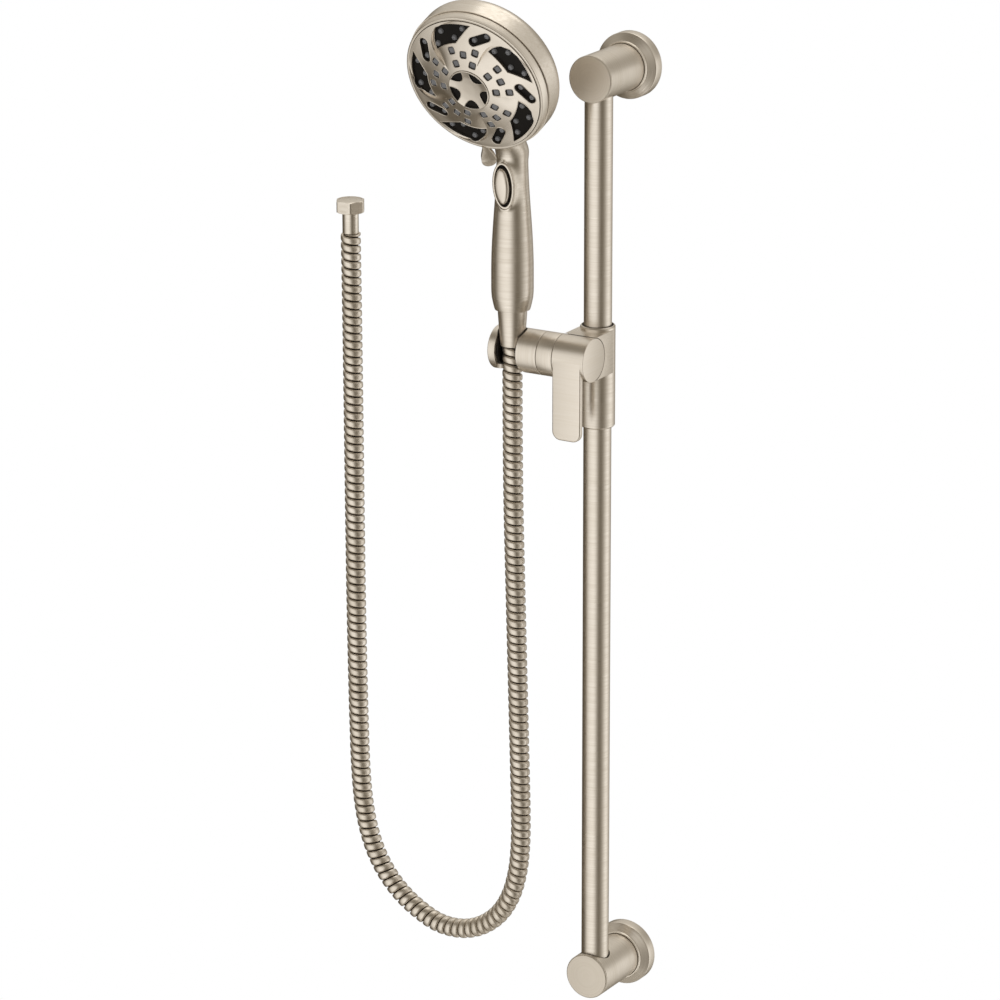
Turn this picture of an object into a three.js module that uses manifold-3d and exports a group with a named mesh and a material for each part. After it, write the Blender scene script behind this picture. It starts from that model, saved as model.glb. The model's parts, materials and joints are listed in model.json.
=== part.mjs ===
// Hand shower on a wall slide bar, with its hose.
// Millimetres, +Z up. The origin is the middle of the lower wall bracket's back face:
// the wall is the plane Y = 0, the room is towards -Y and +X is to the right.
import * as THREE from "three";
import { mergeVertices } from "three/addons/utils/BufferGeometryUtils.js";
import Module from "manifold-3d";

const wasm = await Module();
wasm.setup();

// ---------------------------------------------------------------- driving dimensions

const GAP = 0.3; // clearance between two pieces that touch or slide
const FINE = 32; // facets round the largest pieces, and then the smaller ones
const MEDIUM = 24;
const COARSE = 16;
const SMALL = 10;

// slide bar and its two wall ends
const BAR_RADIUS = 11.1;
const BAR_WALL = 1.2;
const BAR_TO_WALL = 53;
const BAR_INSERTION = 10; // past the post's axis, at each end
const POST_SPACING = 746;
const POST_RADIUS = 18.7;
const POST_NOSE = 3.4; // from the bar to the cap's face
const CAP_THICKNESS = 1.8;
const CAP_CHAMFER = 0.8;
const FLANGE_RADIUS = 27.2;
const FLANGE_RIM_DEPTH = 9.3;
const FLANGE_BEVEL = 3.1;
const FLANGE_LIP_WIDTH = 1.5;
const FLANGE_LIP_DEPTH = 2.2;
const FLANGE_WALL = 2.4;
const BRACKET_CLEARANCE = 2.8; // inside the flange
const BRACKET_THICKNESS = 4;
const BOSS_RADIUS = 9;
const BOSS_LENGTH = 20;
const WALL_SCREW_CLEARANCE = 1; // between its head and the boss
const WALL_SCREW_RADIUS = 2.1;
const WALL_SCREW_LENGTH = 29;
const WALL_SCREW_HEAD_RADIUS = 4;
const WALL_SCREW_HEAD_HEIGHT = 2.7;
const SET_SCREW_RADIUS = 2.5;
const SET_SCREW_DEPTH = 17; // from the wall to its axis
const SET_SCREW_HEX = 1.3;
const BUSHING_WALL = 1;
const BUSHING_LENGTH = 4.3;

// slider that clamps on the bar
const SLIDER_Z = 527.4; // height of the cross barrel's axis
const SLEEVE_WALL = 2.8; // from the bar's surface to the sleeve's
const SLEEVE_TOP = 20.1;
const SLEEVE_BOTTOM = -62.6;
const SLEEVE_CHAMFER = 1.2;
const GLIDE_RING_WALL = 0.9;
const GLIDE_RING_LENGTH = 9;
const GLIDE_RING_INSET = 0.8; // behind the sleeve's ends
const BARREL_RADIUS = 17.5;
const BARREL_CLEARANCE = 2.5; // between the barrel and the bar
const HUB_WIDTH = 28.2;
const HUB_RIGHT = 14; // right end of the barrel, from the bar's axis
const RING_WIDTH = 14;
const DISC_WIDTH = 6.4;
const SLOT_WIDTH = 19.3;
const CRADLE_RIGHT_WIDTH = 17.8;
const PADDLE_THICKNESS = 4.5;
const PADDLE_DROP = 63.7;
const PADDLE_CORNER = 6;
const PADDLE_MARGIN = 1.4; // hub left of the paddle, and right of it
const PADDLE_RIGHT_MARGIN = 2.3;
const SHAFT_RADIUS = 5;
const SHAFT_TIP_RADIUS = 4;
const SHAFT_HEAD_RADIUS = 8;
const SHAFT_HEAD_HEIGHT = 3.6;
const SHAFT_IN_HUB = 22;
const CAM_DEPTH = 4.1; // groove's floor under the hub's surface
const CAM_OFFSET = 1;
const CAM_ANGLES = [60, 85, 110, 135, 160, 190];
const SHOE_SIZE = 12;
const WASHER_RADIUS = 11.5;
const WASHER_THICKNESS = 1.2;

// socket of the cradle and the cone that seats in it
const SOCKET_FORWARD = 5.3; // socket's axis in front of the barrel's axis
const SOCKET_CLEARANCE = 0.9; // past the cone's upper radius
const CONE_TOP_RADIUS = 11.7;
const CONE_BOTTOM_RADIUS = 9.8;
const CONE_LENGTH = 29.5;
const CONE_SEAT = 4.1; // cone's lower end above the barrel's axis
const HOSE_WAY = 1.3; // round the hose, below the cone
const LINER_WALL = 1.05;
const LINER_INSET = 0.4;

// hose and the nut on its free end
const HOSE_RADIUS = 7.7;
const HOSE_BORE = 6.5;
const FERRULE_RADIUS = 6.5;
const FERRULE_BORE = 4.6;
const FERRULE_LENGTH = 17.3;
const FERRULE_FLANGE = 1.5;
const NUT_WALL = 1.8; // from its bore to a flat
const NUT_HEIGHT = 10;
const NUT_FLOOR = 1.4;
const NUT_BORE = 9.3;
const NUT_CHAMFER = 1.4;
const SEAL_THICKNESS = 2;

// handle
const SPIGOT_RADIUS = 8.2;
const SPIGOT_BORE = 6;
const SPIGOT_LENGTH = 14.9;
const HANDLE_FLOOR = 5;
const HANDLE_WALL = 2.8;
const HANDLE_BASE_RADIUS = 13.9;
const HANDLE_CHAMFER_TOP = 9.5;
const HANDLE_SHOULDER_RADIUS = 16.2;
const HANDLE_WIDEST_RADIUS = 16.65;
const HANDLE_WIDEST_HEIGHT = 17;
const HANDLE_TAPER_START = 30;
const HANDLE_NECK_RADIUS = 12.3;
const HANDLE_NECK_HEIGHT = 126;
const NECK_HEAD_RADIUS = 15.5;
const NECK_BORE = 8.5;
const TUBE_RADIUS = 5.5;
const TUBE_WALL = 1.2;
const TUBE_BELOW_NECK = 2.7;

// pause button
const BUTTON_BELOW_NECK = 24.4; // its middle under the top of the handle's taper
const BEZEL_SIDE = 2.65; // past the well, beside it and at its ends
const BEZEL_END = 2.3;
const BEZEL_PROUD = 0.57; // its front past the handle at its own lower end
const WELL_SIDE = 1.2; // past the button, beside it and at its ends
const WELL_END = 2.6;
const BUTTON_HALF_WIDTH = 6;
const BUTTON_HALF_HEIGHT = 13.8;
const BUTTON_PROUD = 1.6; // past the bezel's front
const BUTTON_DEPTH = 8;
const BUTTON_ROUNDING = 1.2;
const SEAL_GAP = 0.3;
const STEM_RADIUS = 1.4;
const BUTTON_SPRING_RADIUS = 2.4;
const BUTTON_SPRING_LENGTH = 3.7;

// spray head, measured from the middle of its front rim along its tilted axis
const HEAD_FORWARD = 57.1; // rim's middle in front of the handle's axis
const HEAD_HEIGHT = 190.45; // rim's middle above the handle's lower face
const HEAD_TILT = 21.6; // degrees that the spray axis points below level
const RING_FRONT_RADIUS = 59.05;
const RING_WALL = 2.15;
const RING_FLARE = 0.9; // wider at its back
const RING_DEPTH = 7.4;
const FACE_DOME = 7.4;
const FACE_WALL = 1.8;
const FACE_SEAM = 0.7;
const SHELL_OVERHANG = 1.05; // past the ring
const SHELL_WALL = 2.8;
const SHELL_DEPTH = 40.2;
const SHELL_SHOULDER = 20; // where its side starts to round over
const HUB_RADIUS = 17.3;
const HUB_THICKNESS = 1.4;
const HUB_FRONT = 7.9;
const CENTRE_SCREW_RADIUS = 2;
const CENTRE_SCREW_HEAD = 3.6;
const CENTRE_SCREW_LENGTH = 10.2;
const MAT_WALL = 1.4;
const MAT_MARGIN = 0.1; // nozzle mat past its outer squares
const NOZZLE_PROUD = 0.35;
const SQUARE_SIZE = 5.6;
const SQUARE_INNER_RADIUS = 23.3;
const SQUARE_MIDDLE_RADIUS = 30;
const SQUARE_OUTER_RADIUS = 33.7;
const WINDOW_INNER_MARGIN = 2.2; // outside the nozzle mat
const WINDOW_OUTER_MARGIN = 1.8; // inside the face's edge
const WINDOW_TOE = 4.8; // corners out from its inner radius
const WINDOW_HEEL = 7.5;
const WINDOW_NOSE = 4.5; // corner in from its outer radius
const PILL_RADIUS = 4;
const PILL_INNER_MARGIN = 3.4; // middle of its inner end outside the window's inner radius
const PILL_OUTER_MARGIN = 0.5; // its outer end inside the window's outer radius
const PORT_INNER_RADIUS = 9.9;
const PORT_RIM = 1.1; // centre cap outside them
const BLADES = 5;
const MANIFOLD_THICKNESS = 3;
const MANIFOLD_BOSS_RADIUS = 9.3;
const MANIFOLD_WAY = 34; // its five openings: distance from the axis, then radius
const MANIFOLD_HOLE = 4;
const DIVERTER_THICKNESS = 2.2;
const DIVERTER_EDGE = 5.2; // past its openings
const DIVERTER_HOLE = 5;
const TAB_RADIUS = 5.6;
const TAB_OUT = 11.55; // middle of its end outside the ring
const TAB_THICKNESS = 5;
const TAB_NECK = 2.6;
const TURBINE_RADIUS = 13;
const TURBINE_THICKNESS = 5;
const PIN_RADIUS = 1.2;
const DETENT_INSET = 8.2; // inside the face's edge
const DETENT_DEPTH = 4;
const DETENT_WALL = 2.2;
const BALL_RADIUS = 2;

// hose route in the plane of the socket's axis: [x, z], from the cone to the nut
const HOSE_ROUTE = [
  [-56.3, 531.2], [-56.3, 495], [-56.1, 450], [-55.5, 400], [-54.4, 355], [-53.2, 310], [-52, 265],
  [-50.8, 220], [-49.6, 175], [-48.8, 140], [-49.2, 112], [-52, 88], [-58, 67.5], [-67.5, 51],
  [-80, 39], [-95, 31], [-111.5, 27.8], [-128.5, 29.5], [-145, 36.5], [-161, 47], [-175, 61],
  [-186.5, 79], [-194, 99], [-198.5, 121], [-201, 148], [-202.4, 190], [-203.3, 240], [-204, 300],
  [-204.3, 360], [-204.5, 420], [-204.7, 480], [-205, 540], [-205.3, 580], [-205.5, 602.7],
];
const HOSE_STEPS = 40;

// ---------------------------------------------------------------- sizes that follow

const POST_FRONT = BAR_TO_WALL + BAR_RADIUS + POST_NOSE;
const BRACKET_RADIUS = FLANGE_RADIUS - FLANGE_WALL - BRACKET_CLEARANCE;
const WALL_SCREW_OFFSET = BOSS_RADIUS + WALL_SCREW_HEAD_RADIUS + WALL_SCREW_CLEARANCE;
const SLEEVE_RADIUS = BAR_RADIUS + SLEEVE_WALL;
const BARREL_TO_BAR = BAR_RADIUS + BARREL_CLEARANCE + BARREL_RADIUS;
const PADDLE_WIDTH = HUB_WIDTH - PADDLE_MARGIN - PADDLE_RIGHT_MARGIN;
const CAM_RADIUS = BARREL_RADIUS - CAM_DEPTH;
const SOCKET_RADIUS = CONE_TOP_RADIUS + SOCKET_CLEARANCE;
const CONE_BORE = SPIGOT_RADIUS + GAP;
const HOSE_WAY_RADIUS = HOSE_RADIUS + HOSE_WAY;
const HOSE_SLOT_WIDTH = SLOT_WIDTH - 2 * (GAP + LINER_WALL);
const NUT_ACROSS_FLATS = 2 * (NUT_BORE + NUT_WALL);
const SOCKET_X = HUB_RIGHT - HUB_WIDTH - RING_WIDTH - CRADLE_RIGHT_WIDTH - 2 * GAP - SLOT_WIDTH / 2;
const SOCKET_Y = -BAR_TO_WALL - BARREL_TO_BAR - SOCKET_FORWARD;
const HUB_LEFT = HUB_RIGHT - HUB_WIDTH;
const PIVOT_RING_LEFT = HUB_LEFT - GAP - RING_WIDTH;
const CRADLE_RIGHT = PIVOT_RING_LEFT - GAP;
const CRADLE_LEFT = SOCKET_X - SLOT_WIDTH / 2 - DISC_WIDTH;
const GLIDE_RING_INNER = BAR_RADIUS + GAP;
const GLIDE_RING_OUTER = GLIDE_RING_INNER + GLIDE_RING_WALL;
const SLEEVE_BORE = BAR_RADIUS + 2 * GAP;
const HANDLE_Z = SLIDER_Z + CONE_SEAT + CONE_LENGTH;
const WELL_HALF_WIDTH = BUTTON_HALF_WIDTH + WELL_SIDE;
const WELL_HALF_HEIGHT = BUTTON_HALF_HEIGHT + WELL_END;
const BEZEL_HALF_WIDTH = WELL_HALF_WIDTH + BEZEL_SIDE;
const BEZEL_HALF_HEIGHT = WELL_HALF_HEIGHT + BEZEL_END;
const RING_BACK_RADIUS = RING_FRONT_RADIUS + RING_FLARE;
const FACE_RADIUS = RING_FRONT_RADIUS - RING_WALL - FACE_SEAM;
const SHELL_RADIUS = RING_BACK_RADIUS + SHELL_OVERHANG;
const MAT_SPLIT_RADIUS = SQUARE_OUTER_RADIUS + SQUARE_SIZE / 2 + MAT_MARGIN;
const WINDOW_INNER_RADIUS = MAT_SPLIT_RADIUS + WINDOW_INNER_MARGIN;
const WINDOW_OUTER_RADIUS = FACE_RADIUS - WINDOW_OUTER_MARGIN;
const PILL_INNER_RADIUS = WINDOW_INNER_RADIUS + PILL_INNER_MARGIN;
const PILL_OUTER_RADIUS = WINDOW_OUTER_RADIUS - PILL_OUTER_MARGIN - PILL_RADIUS;
const PORT_OUTER_RADIUS = HUB_RADIUS - PORT_RIM;
const DIVERTER_WAY = FACE_RADIUS - DIVERTER_EDGE - DIVERTER_HOLE;
const TAB_REACH = RING_FRONT_RADIUS + TAB_OUT;
const DETENT_RADIUS = FACE_RADIUS - DETENT_INSET;
const DIVERTER_FRONT = -4.8;
const MANIFOLD_FRONT = DIVERTER_FRONT - DIVERTER_THICKNESS - 1.2;
const MANIFOLD_BACK = MANIFOLD_FRONT - MANIFOLD_THICKNESS;
const SHELL_FRONT = RING_DEPTH + 0.4;
const NECK_END_DEPTH = SHELL_FRONT - 2 * GAP + NECK_HEAD_RADIUS;
const BUTTON_HEIGHT = HANDLE_NECK_HEIGHT - BUTTON_BELOW_NECK;

// ---------------------------------------------------------------- materials

const FINISHES = {
  nickel: { color: 0xb8ac98, roughness: 0.34, metalness: 1 },
  steel: { color: 0xb9bab8, roughness: 0.3, metalness: 1 },
  black: { color: 0x1a1612, roughness: 0.55, metalness: 0 },
  acetal: { color: 0xd9d7cf, roughness: 0.5, metalness: 0 },
  silicone: { color: 0x73747a, roughness: 0.6, metalness: 0 },
  rubber: { color: 0x232120, roughness: 0.7, metalness: 0 },
};

// ---------------------------------------------------------------- solids and meshes

function solid(geometry) {
  const bare = geometry.clone();
  bare.deleteAttribute("normal");
  bare.deleteAttribute("uv");
  const merged = mergeVertices(bare, 1e-4);
  const place = merged.attributes.position;
  const corner = [0, 1, 2].map(() => new THREE.Vector3());
  const triangles = [];
  let volume = 0;
  for (let i = 0; i < merged.index.count; i += 3) {
    const ids = [0, 1, 2].map((k) => merged.index.getX(i + k));
    if (new Set(ids).size < 3) continue;
    ids.forEach((id, k) => corner[k].fromBufferAttribute(place, id));
    volume += corner[0].dot(corner[1].clone().cross(corner[2]));
    triangles.push(ids);
  }
  const outward = volume > 0 ? triangles : triangles.map(([a, b, c]) => [a, c, b]);
  return new wasm.Manifold(new wasm.Mesh({
    numProp: 3,
    vertProperties: new Float32Array(place.array),
    triVerts: new Uint32Array(outward.flat()),
  }));
}

function geometryOf(body) {
  const mesh = body.getMesh();
  const geometry = new THREE.BufferGeometry();
  const places = new Float32Array(mesh.numVert * 3);
  for (let i = 0; i < mesh.numVert; i += 1) {
    for (let k = 0; k < 3; k += 1) places[3 * i + k] = mesh.vertProperties[i * mesh.numProp + k];
  }
  geometry.setAttribute("position", new THREE.BufferAttribute(places, 3));
  geometry.setIndex(new THREE.BufferAttribute(new Uint32Array(mesh.triVerts), 1));
  return geometry;
}

function piece(parent, name, finish, body) {
  const mesh = new THREE.Mesh(geometryOf(body), new THREE.MeshStandardMaterial(FINISHES[finish]));
  mesh.name = name;
  parent.add(mesh);
  return mesh;
}

function joined(bodies) {
  return bodies.reduce((whole, body) => whole.add(body));
}

function without(body, cuts) {
  return cuts.reduce((rest, cut) => rest.subtract(cut), body);
}

// a profile of [radius, z] turned about Z: closed on itself, or starting and ending on the axis
function turned(profile, segments = MEDIUM) {
  const points = profile.map(([r, z]) => new THREE.Vector2(r, z));
  if (profile[0][0] > 0) points.push(points[0].clone());
  return new THREE.LatheGeometry(points, segments).rotateX(Math.PI / 2);
}

function rod(radius, low, high, segments = COARSE) {
  const geometry = new THREE.CylinderGeometry(radius, radius, high - low, segments);
  return geometry.rotateX(Math.PI / 2).translate(0, 0, (low + high) / 2);
}

function sleeve(outer, inner, low, high, segments = MEDIUM) {
  return turned([[outer, low], [outer, high], [inner, high], [inner, low]], segments);
}

function block(x, y, z) {
  const box = new THREE.BoxGeometry(x[1] - x[0], y[1] - y[0], z[1] - z[0]);
  return box.translate((x[0] + x[1]) / 2, (y[0] + y[1]) / 2, (z[0] + z[1]) / 2);
}

function prism(shape, low, high, curveSegments = 6) {
  const options = { depth: high - low, bevelEnabled: false, curveSegments };
  return new THREE.ExtrudeGeometry(shape, options).translate(0, 0, low);
}

function ellipse(halfWidth, halfHeight) {
  return new THREE.Shape().absellipse(0, 0, halfWidth, halfHeight, 0, 2 * Math.PI);
}

function polygon(corners) {
  return new THREE.Shape(corners.map(([x, y]) => new THREE.Vector2(x, y)));
}

// Z of the geometry's own frame laid along +X, or along -Y with its Y axis upright
const alongX = (geometry) => geometry.rotateY(Math.PI / 2);
const alongFront = (geometry) => geometry.rotateX(Math.PI / 2);

function polar(radius, degrees) {
  const angle = THREE.MathUtils.degToRad(degrees);
  return [radius * Math.cos(angle), radius * Math.sin(angle)];
}

function helix(radius, wire, low, high, turns) {
  const count = turns * 8;
  const points = [];
  for (let i = 0; i <= count; i += 1) {
    const [x, y] = polar(radius, (360 * turns * i) / count);
    points.push(new THREE.Vector3(x, y, low + wire + ((high - low - 2 * wire) * i) / count));
  }
  const path = new THREE.CatmullRomCurve3(points);
  const section = polygon([45, 135, 225, 315].map((turn) => polar(wire, turn)));
  return new THREE.ExtrudeGeometry(section, { steps: count, extrudePath: path });
}

// ---------------------------------------------------------------- wall ends and bar

// own frame: +Z away from the wall, +Y up; barSide is +1 where the bar leaves upwards
function wallEnd(side, barSide) {
  const end = new THREE.Group();
  end.rotation.x = Math.PI / 2;
  const headTop = BRACKET_THICKNESS + GAP + WALL_SCREW_HEAD_HEIGHT;
  const postBack = headTop + 3 * GAP;
  const postFront = POST_FRONT - CAP_THICKNESS - GAP;

  const plate = joined([
    solid(rod(BRACKET_RADIUS, 0, BRACKET_THICKNESS, COARSE)),
    solid(rod(BOSS_RADIUS, BRACKET_THICKNESS - 1, BRACKET_THICKNESS + BOSS_LENGTH, COARSE)),
  ]);
  const screwHoles = [1, -1].map((up) => {
    const hole = rod(WALL_SCREW_RADIUS + 0.5, -1, BRACKET_THICKNESS + 1, SMALL);
    return solid(hole.translate(0, up * WALL_SCREW_OFFSET, 0));
  });
  piece(end, `wall_bracket_${side}`, "steel", without(plate, screwHoles));

  [["a", 1], ["b", -1]].forEach(([letter, up]) => {
    const tip = headTop - WALL_SCREW_LENGTH - WALL_SCREW_HEAD_HEIGHT;
    const screw = turned([
      [0, headTop], [WALL_SCREW_HEAD_RADIUS * 0.7, headTop],
      [WALL_SCREW_HEAD_RADIUS, headTop - WALL_SCREW_HEAD_HEIGHT / 2],
      [WALL_SCREW_HEAD_RADIUS, BRACKET_THICKNESS + GAP], [WALL_SCREW_RADIUS, BRACKET_THICKNESS + GAP],
      [WALL_SCREW_RADIUS, tip + 2 * WALL_SCREW_RADIUS], [0, tip],
    ], SMALL);
    piece(end, `wall_screw_${side}_${letter}`, "steel",
      solid(screw.translate(0, up * WALL_SCREW_OFFSET, 0)));
  });

  const bossBore = rod(BOSS_RADIUS + GAP, 0, BRACKET_THICKNESS + BOSS_LENGTH + GAP, COARSE);
  const acrossPost = (geometry, distance) => geometry.rotateX(-Math.PI / 2).translate(0, 0, distance);
  const barBore = rod(BAR_RADIUS + GAP, -BAR_INSERTION - GAP, POST_RADIUS + 2, MEDIUM);
  const seatLow = Math.sqrt(POST_RADIUS ** 2 - (BAR_RADIUS + GAP + BUSHING_WALL + GAP) ** 2);
  const seatFloor = seatLow - GAP - BUSHING_LENGTH;
  const seat = rod(BAR_RADIUS + 2 * GAP + BUSHING_WALL, seatFloor - GAP, POST_RADIUS + 2, MEDIUM);
  const screwWay = rod(SET_SCREW_RADIUS + GAP, -POST_RADIUS - 2, -BOSS_RADIUS + 1, SMALL);
  const turn = barSide > 0 ? 0 : Math.PI;
  const post = without(solid(rod(POST_RADIUS, postBack, postFront, MEDIUM)), [
    solid(bossBore),
    solid(acrossPost(barBore, 0).rotateZ(turn).translate(0, 0, BAR_TO_WALL)),
    solid(acrossPost(seat, 0).rotateZ(turn).translate(0, 0, BAR_TO_WALL)),
    solid(acrossPost(screwWay, SET_SCREW_DEPTH)),
  ]);
  piece(end, `post_${side}`, "nickel", post);

  const cap = turned([
    [0, postFront + GAP], [POST_RADIUS, postFront + GAP],
    [POST_RADIUS, POST_FRONT - CAP_CHAMFER], [POST_RADIUS - CAP_CHAMFER, POST_FRONT], [0, POST_FRONT],
  ], MEDIUM);
  piece(end, `post_cap_${side}`, "nickel", solid(cap));

  const lipInner = POST_RADIUS + GAP;
  const lipOuter = lipInner + FLANGE_LIP_WIDTH;
  const bevelTop = FLANGE_RIM_DEPTH + FLANGE_BEVEL;
  const flange = turned([
    [FLANGE_RADIUS, 0], [FLANGE_RADIUS, FLANGE_RIM_DEPTH - 0.6], [FLANGE_RADIUS - 0.6, FLANGE_RIM_DEPTH],
    [lipOuter, bevelTop], [lipOuter, bevelTop + FLANGE_LIP_DEPTH - 0.3],
    [lipOuter - 0.3, bevelTop + FLANGE_LIP_DEPTH], [lipInner, bevelTop + FLANGE_LIP_DEPTH],
    [lipInner, bevelTop - FLANGE_WALL], [FLANGE_RADIUS - FLANGE_WALL, FLANGE_RIM_DEPTH - FLANGE_WALL],
    [FLANGE_RADIUS - FLANGE_WALL, 0],
  ], MEDIUM);
  piece(end, `flange_${side}`, "nickel", solid(flange));

  const bushing = sleeve(BAR_RADIUS + GAP + BUSHING_WALL, BAR_RADIUS + GAP,
    seatFloor, seatFloor + BUSHING_LENGTH, MEDIUM);
  piece(end, `bar_bushing_${side}`, "black",
    solid(acrossPost(bushing, 0).rotateZ(turn).translate(0, 0, BAR_TO_WALL)));

  const grub = rod(SET_SCREW_RADIUS, -POST_RADIUS + 0.4, -BOSS_RADIUS - GAP, SMALL);
  const socket = rod(SET_SCREW_HEX, -POST_RADIUS - 1, -POST_RADIUS + 3, 6);
  piece(end, `set_screw_${side}`, "steel",
    without(solid(acrossPost(grub, SET_SCREW_DEPTH)), [solid(acrossPost(socket, SET_SCREW_DEPTH))]));
  return end;
}

function rail() {
  const group = new THREE.Group();
  const lower = wallEnd("lower", 1);
  const upper = wallEnd("upper", -1);
  upper.position.z = POST_SPACING;
  group.add(lower, upper);
  const barTop = POST_SPACING + BAR_INSERTION;
  const bar = sleeve(BAR_RADIUS, BAR_RADIUS - BAR_WALL, -BAR_INSERTION, barTop, MEDIUM);
  const mesh = piece(group, "slide_bar", "nickel", solid(bar));
  mesh.position.y = -BAR_TO_WALL;
  return group;
}

// ---------------------------------------------------------------- slider

// own frame: origin on the bar's axis at the height of the cross barrel's axis
function barrel(left, right, radius = BARREL_RADIUS, segments = MEDIUM) {
  return alongX(rod(radius, left, right, segments)).translate(0, -BARREL_TO_BAR, 0);
}

function sliderBody() {
  const upright = turned([
    [0, SLEEVE_BOTTOM], [SLEEVE_RADIUS - SLEEVE_CHAMFER, SLEEVE_BOTTOM],
    [SLEEVE_RADIUS, SLEEVE_BOTTOM + SLEEVE_CHAMFER], [SLEEVE_RADIUS, SLEEVE_TOP - SLEEVE_CHAMFER],
    [SLEEVE_RADIUS - SLEEVE_CHAMFER / 2, SLEEVE_TOP], [0, SLEEVE_TOP],
  ], MEDIUM);
  const body = block([HUB_LEFT, HUB_RIGHT], [-BARREL_TO_BAR, 0], [-BARREL_RADIUS, BARREL_RADIUS]);
  const shoeWay = SHOE_SIZE / 2 + GAP;
  const seats = glideRingPlaces().map(([low, high, end]) => {
    return solid(rod(GLIDE_RING_OUTER + GAP, Math.min(low - GAP, end), Math.max(high + GAP, end), MEDIUM));
  });
  return without(joined([solid(upright), solid(body)]), [
    ...seats,
    solid(rod(SLEEVE_BORE, SLEEVE_BOTTOM - 1, SLEEVE_TOP + 1, MEDIUM)),
    solid(barrel(HUB_LEFT - 1, HUB_RIGHT + 1, BARREL_RADIUS + GAP)),
    solid(block([-shoeWay, shoeWay], [-BARREL_TO_BAR, -BAR_RADIUS / 2], [-shoeWay, shoeWay])),
  ]);
}

// lower and upper end of each glide ring, and a height past its mouth in the sleeve
function glideRingPlaces() {
  const low = SLEEVE_BOTTOM + GLIDE_RING_INSET;
  const high = SLEEVE_TOP - GLIDE_RING_INSET;
  return [
    [low, low + GLIDE_RING_LENGTH, SLEEVE_BOTTOM - 1], [high - GLIDE_RING_LENGTH, high, SLEEVE_TOP + 1],
  ];
}

function lockLever() {
  const hubEdge = 0.5;
  const hub = turned([
    [0, HUB_LEFT], [BARREL_RADIUS - hubEdge / 2, HUB_LEFT], [BARREL_RADIUS, HUB_LEFT + hubEdge / 2],
    [BARREL_RADIUS, HUB_RIGHT - hubEdge], [BARREL_RADIUS - hubEdge, HUB_RIGHT], [0, HUB_RIGHT],
  ], MEDIUM);
  const left = HUB_LEFT + PADDLE_MARGIN;
  const right = left + PADDLE_WIDTH;
  const outline = new THREE.Shape();
  outline.moveTo(left, 0);
  outline.lineTo(left, PADDLE_CORNER - PADDLE_DROP);
  outline.absarc(left + PADDLE_CORNER, PADDLE_CORNER - PADDLE_DROP, PADDLE_CORNER, Math.PI, 1.5 * Math.PI);
  outline.absarc(right - PADDLE_CORNER, PADDLE_CORNER - PADDLE_DROP, PADDLE_CORNER, 1.5 * Math.PI, 0);
  outline.lineTo(right, 0);
  const front = BARREL_TO_BAR + BARREL_RADIUS;
  const paddle = alongFront(prism(outline, front - PADDLE_THICKNESS, front, 6));

  // the cam is a groove round part of the hub's back, with its floor off centre towards the bar
  const sector = [[0, 0], ...CAM_ANGLES.map((angle) => polar(BARREL_RADIUS * 1.2, angle))];
  const grooveHalf = SHOE_SIZE / 2 + 1;
  const wedge = solid(prism(polygon(sector), -grooveHalf, grooveHalf));
  const floor = rod(CAM_RADIUS, -grooveHalf - 1, grooveHalf + 1, MEDIUM).translate(0, CAM_OFFSET, 0);
  const groove = alongX(geometryOf(wedge.subtract(solid(floor)))).translate(0, -BARREL_TO_BAR, 0);
  const bore = barrel(HUB_LEFT - 1, HUB_LEFT + SHAFT_IN_HUB + GAP, SHAFT_TIP_RADIUS + GAP, COARSE);
  const whole = joined([solid(alongX(hub).translate(0, -BARREL_TO_BAR, 0)), solid(paddle)]);
  return without(whole, [solid(groove), solid(bore)]);
}

function brakeShoe() {
  const front = BARREL_TO_BAR - CAM_OFFSET - CAM_RADIUS - GAP;
  const half = SHOE_SIZE / 2;
  return without(solid(block([-half, half], [-front, -BAR_RADIUS / 2], [-half, half])), [
    solid(rod(BAR_RADIUS + GAP, -SHOE_SIZE, SHOE_SIZE, MEDIUM)),
  ]);
}

function pivotRing() {
  const recess = WASHER_THICKNESS + GAP;
  return without(solid(barrel(PIVOT_RING_LEFT, HUB_LEFT - GAP)), [
    solid(barrel(PIVOT_RING_LEFT - 1, HUB_LEFT, SHAFT_RADIUS + GAP, COARSE)),
    solid(barrel(PIVOT_RING_LEFT - 1, PIVOT_RING_LEFT + recess, WASHER_RADIUS + GAP, MEDIUM)),
  ]);
}

function pivotShaft() {
  const shankLeft = CRADLE_RIGHT - CRADLE_RIGHT_WIDTH / 2;
  const head = barrel(shankLeft - SHAFT_HEAD_HEIGHT, shankLeft, SHAFT_HEAD_RADIUS, COARSE);
  const shank = barrel(shankLeft - 1, HUB_LEFT - GAP, SHAFT_RADIUS, COARSE);
  const tip = barrel(HUB_LEFT - GAP - 1, HUB_LEFT + SHAFT_IN_HUB, SHAFT_TIP_RADIUS, COARSE);
  return joined([solid(head), solid(shank), solid(tip)]);
}

function washer() {
  const low = PIVOT_RING_LEFT;
  const flat = sleeve(WASHER_RADIUS, SHAFT_RADIUS + GAP, low, low + WASHER_THICKNESS, MEDIUM);
  return solid(alongX(flat).translate(0, -BARREL_TO_BAR, 0));
}

const coneRadius = (z) => CONE_BOTTOM_RADIUS
  + ((CONE_TOP_RADIUS - CONE_BOTTOM_RADIUS) * (z - CONE_SEAT)) / (CONE_LENGTH - GAP);

function socketAt(geometry) {
  return geometry.translate(SOCKET_X, -BARREL_TO_BAR - SOCKET_FORWARD, 0);
}

function slot(halfWidth) {
  const reach = 2 * BARREL_RADIUS;
  return socketAt(block([-halfWidth, halfWidth], [-reach, 0], [-reach, reach]));
}

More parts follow.
